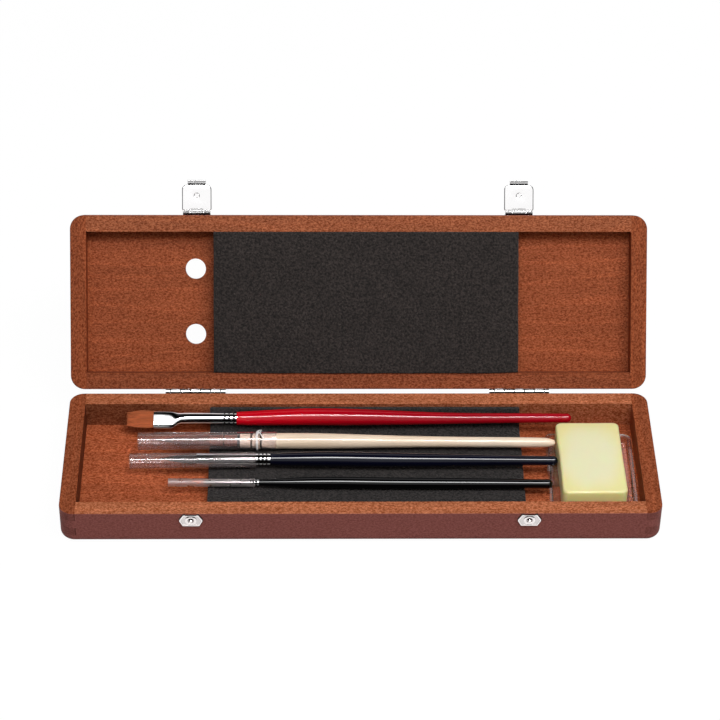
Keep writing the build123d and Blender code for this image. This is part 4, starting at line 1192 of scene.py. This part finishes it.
def crimps(end_x, at, grooves, pressed_end=None):
    """Painted shade in the bottoms of the crimps around a ferrule.

    end_x is the place of the handle's end and at the length where the ferrule starts. pressed_end
    adds a painted dark line, for shade and dark reflection, at the lower edge of a flat end: where it
    starts, and the middle of its face.
    """
    def marks(f, x, y, z):
        along = f.minus(mm(end_x), x)
        # Painted shade in the grooves of the crimps.
        offs = [f.size(f.minus(along, mm(at + groove))) for groove in grooves]
        shade = f.times(*(f.span(off, 0.00022, 0.0004, 0.12, 1.0) for off in offs))
        # Painted dark line at the lower edge of the flat end.
        if pressed_end:
            start, face_y, face_z = pressed_end
            ahead = f.times(f.minus(y, mm(face_y)), -cos(FLAT_TILT))
            below = f.times(f.minus(z, mm(face_z)), -sin(FLAT_TILT))
            edge = f.within(f.plus(ahead, below), 0.0023, 0.0033, 0.0001)
            edge = f.times(edge, f.span(along, mm(start), mm(start + 1)))
            shade = f.times(shade, f.dim(edge, 0.04))
        return shade

    return marks


class BRUSHBOX_OT_flat_brush(bpy.types.Operator):
    """Red brush with a pressed flat ferrule"""
    bl_idname = "brushbox.flat_brush"
    bl_label = "Flat brush"

    def execute(self, context):
        c, s = settings()
        at, grooves = FLAT_SHOULDER, (1.6, 3.7, 5.8)
        knots = [(2.1, 2.1), (32.7, 2.38), (60, 2.75), (114, 4.02), (at, 3.1)]
        bm = handle(knots, [0.01, 0.006, 0.022, 0, -0.045])
        self.lay(bm)
        # The red handle darkens towards its tail as painted shade.
        lacquered("flat", bm, FLAT, "red", deep=0.85, tail=(0.58, 0.6, 0.8))
        bm = oval_skin(self.stations(grooves), FLAT_TILT)
        self.lay(bm)
        ferrule("flat", bm, FLAT, 0.07, crimps(FLAT_END, at, grooves, pressed_end=(at + 28.5, 26.1, 13.9)))
        bm = hair(at + 36.5, 14.8, self.roots(s.strands), self.spread, s.strand * 1000, seed=5)
        turn(bm, -FLAT_TILT, "X")
        move(bm, (0, FLAT_SHIFT, 0))
        self.lay(bm)
        gold = bristle("golden hair", tint(c.gold_hair), 0.8)
        brush_piece("flat", "hair", bm, gold, FLAT, 60)
        return {"FINISHED"}

    def stations(self, grooves):
        """The ferrule's rings: round and grooved at the handle, pressed flat towards the hair."""
        groove_line = ((-0.75, 4.7), (-0.35, 4.45), (-0.15, 3.7), (0.15, 3.7), (0.35, 4.45), (0.75, 4.7))
        round_end = [(0, 4.1), (0.02, 4.45), (0.9, 4.45)]
        round_end += [(groove + off, wide) for groove in grooves for off, wide in groove_line]
        rings = [(x, wide, wide, 0, 2) for x, wide in (*round_end, (7.2, 4.6), (14, 4.8))]
        rings += [
            (22, 4.95, 4.8, 0, 2), (26, 5.15, 4.5, 0.08, 2), (27.2, 5.5, 4.0, 0.25, 2),
            (28.5, 6.3, 3.2, 0.55, 2.1), (29.6, 7.2, 2.5, 0.83, 2.4), (30.3, 7.6, 2.15, 0.97, 2.9),
            (31.6, 7.75, 2.0, 1, 3.6), (35, 7.75, 1.95, 1, 4.2), (38.4, 7.75, 1.95, 1, 4.2),
            (38.7, 7.7, 1.85, 1, 4.2), (38.7, 6.8, 1.3, 1, 2.6), (36, 6.7, 1.2, 1, 2.6),
        ]
        shift = FLAT_SHIFT + 0.5
        return [
            (FLAT_SHOULDER + x, wide, thick, share * shift, square) for x, wide, thick, share, square in rings
        ]

    def roots(self, columns, rows=7):
        """Roots in columns and rows, each a little off its place."""
        rng = random.Random(11)
        roots = []
        for i in range(columns):
            for j in range(rows):
                u = (i + 0.5 + rng.uniform(-0.3, 0.3)) / columns * 2 - 1
                v = (j + 0.5 + rng.uniform(-0.3, 0.3)) / rows * 2 - 1
                roots.append((u, v * sqrt(max(0.05, 1 - u**6))))
        return roots

    def spread(self, share):
        """Half width and half thickness of the flat head."""
        wide = 3.45 + 0.65 * sin(pi * min(1.0, share * 1.1)) - 0.2 * max(0.0, share - 0.6) / 0.4
        swell = sin(pi * min(1.0, max(0.0, share - 0.1) * 1.2))
        return wide, 0.45 + 0.5 * swell - 0.3 * share

    def lay(self, bm):
        """The brush is not quite straight: it sags a little on both sides of its belly."""
        for vert in bm.verts:
            ahead = min(1.0, max(0.0, (vert.co.x - 122) / 34))
            behind = sin(pi * min(1.0, max(0.0, (118 - vert.co.x) / 118))) ** 2
            vert.co.z -= 1.2 * ahead * ahead * (3 - 2 * ahead) + 0.6 * behind


class BRUSHBOX_OT_quill_brush(bpy.types.Operator):
    """Pale wooden brush with a clear wire-bound sleeve"""
    bl_idname = "brushbox.quill_brush"
    bl_label = "Quill brush"

    def execute(self, context):
        c, s = settings()
        at = QUILL_SHOULDER
        knots = [(1.3, 1.45), (3.2, 1.95), (5.5, 2.18), (24, 2.42), (45, 2.46), (73, 2.82)]
        knots += [(117, 3.72), (at, 3.25)]
        slopes = [0.34, 0.14, 0.03, 0.004, 0.004, 0.019, 0, -0.025]
        bm = handle(knots, slopes, tail_steps=6, edge=(0.12, 0.15))
        brush_piece("quill", "handle", bm, pale_handle("pale wood", tint(c.pale)), QUILL)
        sleeve = [
            (at + 0.05, 2.78), (at + 14.1, 2.72), (at + 14.2, 2.6),
            (at + 14.2, 2.46), (at + 14.0, 2.43), (at + 0.05, 2.43),
        ]
        plastic = clear("quill sleeve", tint(c.sleeve), rough=0.2, through=0.45)
        brush_piece("quill", "sleeve", spin_line(sleeve, closed=True), plastic, QUILL)
        ring = [(at, 2.82), (at + 0.1, 3.1), (at + 1.25, 3.1), (at + 1.4, 2.82)]
        # A black ring at the handle end of the sleeve.
        black = (0.012, 0.012, 0.013)
        dark_ring_finish = wound("black ring", black, metal=0.0, rough=0.6)
        brush_piece("quill", "ring", spin_line(ring, closed=True), dark_ring_finish, QUILL)
        bm = bmesh.new()
        coil(bm, at + 7.2, radius=2.98, wire=0.16, turns=2.2, pitch=0.3)
        for spot in (5.75, 10.05):
            coil(bm, at - spot, radius=3.5, wire=0.17, turns=3.6, pitch=0.31)
        outward(bm)
        brass = wound("brass wire", tint(c.brass), metal=1.0, rough=0.25)
        brush_piece("quill", "wires", bm, brass, QUILL, 60)
        head = pointed(2.28, swell=0.22, quick=2.0, start=0.38, power=1.5)
        bm = hair(at + 9.5, 29.5, disc_roots(190), head, s.strand * 1000, seed=8)
        brown = bristle("brown hair", tint(c.quill_hair), 0.7)
        brush_piece("quill", "hair", bm, brown, QUILL, 60)
        return {"FINISHED"}


class BRUSHBOX_OT_round_brush(bpy.types.Operator):
    """Navy brush with a tapered ferrule"""
    bl_idname = "brushbox.round_brush"
    bl_label = "Round brush"

    def execute(self, context):
        c, s = settings()
        at, grooves = ROUND_SHOULDER, (1.9, 3.6, 5.4)
        bm = waisted_handle((0.193, 2.45), (0.79, 3.45), shoulder=(at, 2.75), swell=(104.0, 18.0, 0.4))
        lacquered("round", bm, ROUND, "navy", deep=0.8)
        bm = plain_ferrule(at, grooves, reach=33.8, back_r=2.45, mouth_r=2.3, bore_r=2.05)
        ferrule("round", bm, ROUND, 0.07, crimps(ROUND_END, at, grooves))
        head = pointed(1.85, swell=0.25, quick=1.7, start=0.42, power=1.4)
        bm = hair(at + 31.5, 19.2, disc_roots(150), head, s.strand * 1000, seed=21)
        brush_piece("round", "hair", bm, bristle("dark hair", tint(c.dark_hair), 0.6), ROUND, 60)
        return {"FINISHED"}


class BRUSHBOX_OT_fine_brush(bpy.types.Operator):
    """Black brush with a slender ferrule"""
    bl_idname = "brushbox.fine_brush"
    bl_label = "Fine brush"

    def execute(self, context):
        at, grooves = FINE_SHOULDER, (1.5, 2.7, 3.9)
        bm = waisted_handle((0.225, 2.35), (0.78, 2.6), shoulder=(at, 1.4), swell=(99.0, 15.0, 0.3))
        lacquered("fine", bm, FINE, "black", deep=0.7)
        bm = plain_ferrule(at, grooves, reach=25.9, back_r=1.15, mouth_r=1.0, bore_r=0.85)
        ferrule("fine", bm, FINE, 0.2, crimps(FINE_END, at, grooves))
        head = pointed(0.78, start=0.4, power=1.3, least=0.03)
        bm = hair(at + 24, 7.3, disc_roots(60), head, radius=0.12, seed=31)
        gold = bristle("fine golden hair", tint(settings()[0].gold_hair), 0.75)
        brush_piece("fine", "hair", bm, gold, FINE, 60)
        return {"FINISHED"}


class BRUSHBOX_OT_guards(bpy.types.Operator):
    """Clear guard tubes and the thread tied around one of them"""
    bl_idname = "brushbox.guards"
    bl_label = "Guard tubes"

    def execute(self, context):
        c, s = settings()
        plastic = scaled(tint(c.clear), 0.88, 0.85, 0.85)
        wide = clear("clear tube", plastic, rough=0.1, through=0.965)
        slim = clear("clear slim tube", plastic, rough=0.4, through=0.965, gloss=0.1)
        wall = s.tube_wall * 1000
        for who, place, near, far, outer, droop, finish in (
            ("quill", QUILL, 128.9, 192.8, QUILL_TUBE_R, 0.9, wide),
            ("round", ROUND_GUARD, 138.5, 196.2, 3.5, 1.0, wide),
            ("fine", FINE_GUARD, 135.4, 174.8, 1.8, 0.0, slim),
        ):
            inner = outer - wall
            line = [
                (near, outer - 0.1), (near + 0.1, outer), (far - 0.1, outer), (far, outer - 0.1),
                (far, inner + 0.1), (far - 0.1, inner), (near + 0.1, inner), (near, inner + 0.1),
            ]
            bm = spin_line(line, closed=True, steps=64)
            turn(bm, radians(droop), "Y", (near + 10, 0, 0))
            piece(f"{who}_guard", bm, f"{who}_guard", finish, f"{who}_guard_tube", place)
        self.thread(tint(c.thread))
        return {"FINISHED"}

    def thread(self, tone):
        """A thread wound round the quill brush's tube, its crossings and its loose ends."""
        bm = bmesh.new()
        at = QUILL_SHOULDER - 8.0
        coil(bm, at - 0.3, radius=QUILL_TUBE_R + 0.2, wire=0.2, turns=1.9, pitch=0.46, start=0.9)
        for points in (
            ((0.9, 2.0, 3.75), (0.5, 1.2, 4.35), (-0.2, 0.2, 4.75), (-1.0, -0.8, 4.6), (-1.6, -1.6, 4.15)),
            ((0.3, -2.0, 3.85), (-0.6, -1.2, 4.35), (-1.3, 0.0, 4.5), (-2.0, 1.3, 4.2), (-2.7, 2.1, 3.85)),
            ((-2.7, 2.1, 3.85), (-2.9, 2.5, 3.65), (-2.5, 2.9, 3.4), (-1.8, 2.8, 3.4)),
            ((0.5, -1.7, 4.1), (-0.2, -1.9, 4.4), (-1.0, -1.9, 4.75), (-1.9, -1.6, 4.95)),
        ):
            strand(bm, [Vector((at + x, y, z)) for x, y, z in points], 0.24)
        outward(bm)
        finish = wound("thread", tone, metal=0.0, rough=0.8)
        piece("guard_thread", bm, "quill_guard", finish, "quill_guard_thread", QUILL, 60)


class BRUSHBOX_OT_soap(bpy.types.Operator):
    """Bar of soap"""
    bl_idname = "brushbox.soap"
    bl_label = "Soap"

    def execute(self, context):
        c, s = settings()
        wide, deep, high = 29.3, 47.35, 12.0
        bm = bmesh.new()
        box(bm, (wide, deep, high))
        bevel(bm, edges_along(bm, 2), 2.6, 5)
        bevel(bm, sharp_edges(bm, lambda co: abs(co.z) > high / 2 - 0.01), s.soap_round * 1000, 5)
        self.cut(bm, 0, wide, 14)
        self.cut(bm, 1, deep, 22)
        for vert in bm.verts:
            u, v, w = vert.co.x / (wide / 2), vert.co.y / (deep / 2), vert.co.z / (high / 2)
            if w > 0.8:
                vert.co.z += 0.25 * (1 - u * u) * (1 - v * v) - 0.1
            vert.co.x += 0.25 * (v * v - 0.6) * (1 if u > 0 else -1) * abs(u)
            vert.co.y -= 0.9 * max(0.0, -v) ** 8 * (1 - w) / 2
        bm.normal_update()
        soften(bm.verts, 0.18, scale=9.0, seed=1.0)
        place = MM @ Matrix.Translation((105.7, -2.95, 11.25)) @ Matrix.Rotation(radians(0.5), 4, "Z")
        centre, half = (0.1057, -0.00295, 0.0113), (0.0147, 0.0237)
        finish = waxy("soap", tint(c.soap), tint(c.soap_edge_glow), centre, half)
        piece("soap_bar", bm, "soap_bar", finish, "soap", place, 60)
        return {"FINISHED"}

    def cut(self, bm, axis, span, parts):
        """Divide the bar into equal parts along an axis, so that its faces can be worn soft."""
        point, normal = Vector((0, 0, 0)), Vector((0, 0, 0))
        normal[axis] = 1
        for k in range(1, parts):
            point[axis] = -span / 2 + span * k / parts
            whole = bm.verts[:] + bm.edges[:] + bm.faces[:]
            bmesh.ops.bisect_plane(bm, geom=whole, plane_co=point, plane_no=normal)


class BRUSHBOX_OT_tray(bpy.types.Operator):
    """Thin clear tray with a crumpled flap of its film"""
    bl_idname = "brushbox.tray"
    bl_label = "Tray"

    def execute(self, context):
        c, s = settings()
        bm = bmesh.new()
        self.shell(bm, s.tray_wall * 1000)
        self.film(bm)
        outward(bm)
        place = MM @ Matrix.Translation((106.0, -4.0, 6.75)) @ Matrix.Rotation(radians(-0.8), 4, "Z")
        plastic = scaled(tint(c.clear), 0.94, 0.9, 0.9)
        finish = clear("clear tray", plastic, rough=0.05, through=0.985)
        piece("tray", bm, "base", finish, "soap_tray", place, 40)
        return {"FINISHED"}

    def shell(self, bm, wall):
        """The tray: an open box with rounded corners and a lip turned out and down."""
        lip = 1.1
        box(bm, (39.6 - 2 * lip, 51.0 - 2 * lip, 4.2 - wall), (0, 0, -wall / 2))
        bevel(bm, edges_along(bm, 2), 2.0, 5)
        bevel(bm, sharp_edges(bm, lambda co: co.z < -2), 0.6, 3)
        bmesh.ops.delete(bm, geom=[f for f in bm.faces if f.normal.z > 0.9], context="FACES")
        for out, lift in ((0.4, 0.0), (0.45, 0.12), (lip - 0.85 - wall, -0.3)):
            rim = [e for e in bm.edges if len(e.link_faces) == 1]
            for vert in new_verts(bmesh.ops.extrude_edge_only(bm, edges=rim)):
                corner = Vector((max(0, abs(vert.co.x) - 16.6), max(0, abs(vert.co.y) - 22.3)))
                step = corner.normalized() * out
                vert.co.x += step.x * (1 if vert.co.x > 0 else -1)
                vert.co.y += step.y * (1 if vert.co.y > 0 else -1)
                vert.co.z += lift
        bm.normal_update()
        floor = min(bm.faces, key=lambda face: face.calc_center_median().z)
        if floor.normal.z > 0:
            bmesh.ops.reverse_faces(bm, faces=bm.faces[:])
        bmesh.ops.solidify(bm, geom=bm.faces[:], thickness=wall)

    def film(self, bm):
        """A crumpled strip of film at the left side of the tray."""
        film = bmesh.ops.create_grid(bm, x_segments=12, y_segments=40, size=0.5)["verts"]
        bmesh.ops.scale(bm, vec=(6.0, 27.0, 1), verts=film)
        for vert in film:
            x, y = vert.co.xy
            u, v = x / 3.0, y / 13.5
            crease = noise.noise(Vector((x / 1.6, y / 3.4, 4.0)))
            fold = noise.noise(Vector((x / 4.0, y / 9.0, 9.0)))
            vert.co.z = 0.9 + 1.1 * fold + 0.7 * crease + 0.5 * v * v
            vert.co.x += -16.2 - 0.6 * u * v * v + 0.5 * fold
            vert.co.y += 5.0
        sheet = list({face for vert in film for face in vert.link_faces})
        bmesh.ops.solidify(bm, geom=sheet, thickness=0.08)


OPERATORS = (
    BRUSHBOX_OT_stage, BRUSHBOX_OT_case, BRUSHBOX_OT_hardware, BRUSHBOX_OT_hasps, BRUSHBOX_OT_base_foam,
    BRUSHBOX_OT_lid_foam, BRUSHBOX_OT_flat_brush, BRUSHBOX_OT_quill_brush, BRUSHBOX_OT_round_brush,
    BRUSHBOX_OT_fine_brush, BRUSHBOX_OT_guards, BRUSHBOX_OT_soap, BRUSHBOX_OT_tray,
)


class BRUSHBOX_PT_panel(bpy.types.Panel):
    """Sidebar panel"""
    bl_idname = "BRUSHBOX_PT_panel"
    bl_label = "Brush Box"
    bl_space_type = "VIEW_3D"
    bl_region_type = "UI"
    bl_category = "Brush Box"

    def draw(self, context):
        for group in settings():
            rows = self.layout.box()
            for name in group.__annotations__:
                rows.prop(group, name)
        for operator in OPERATORS:
            self.layout.operator(operator.bl_idname)


CLASSES = (BrushBoxColours, BrushBoxSizes, *OPERATORS, BRUSHBOX_PT_panel)


def register():
    for kind in CLASSES:
        bpy.utils.register_class(kind)
    bpy.types.Scene.brush_box_colours = bpy.props.PointerProperty(type=BrushBoxColours)
    bpy.types.Scene.brush_box_sizes = bpy.props.PointerProperty(type=BrushBoxSizes)


def unregister():
    del bpy.types.Scene.brush_box_colours
    del bpy.types.Scene.brush_box_sizes
    for kind in reversed(CLASSES):
        bpy.utils.unregister_class(kind)


def main():
    register()
    for operator in OPERATORS:
        name = operator.bl_idname.split(".")[1]
        getattr(bpy.ops.brushbox, name)()
    bpy.context.view_layer.update()


if __name__ == "__main__":
    main()
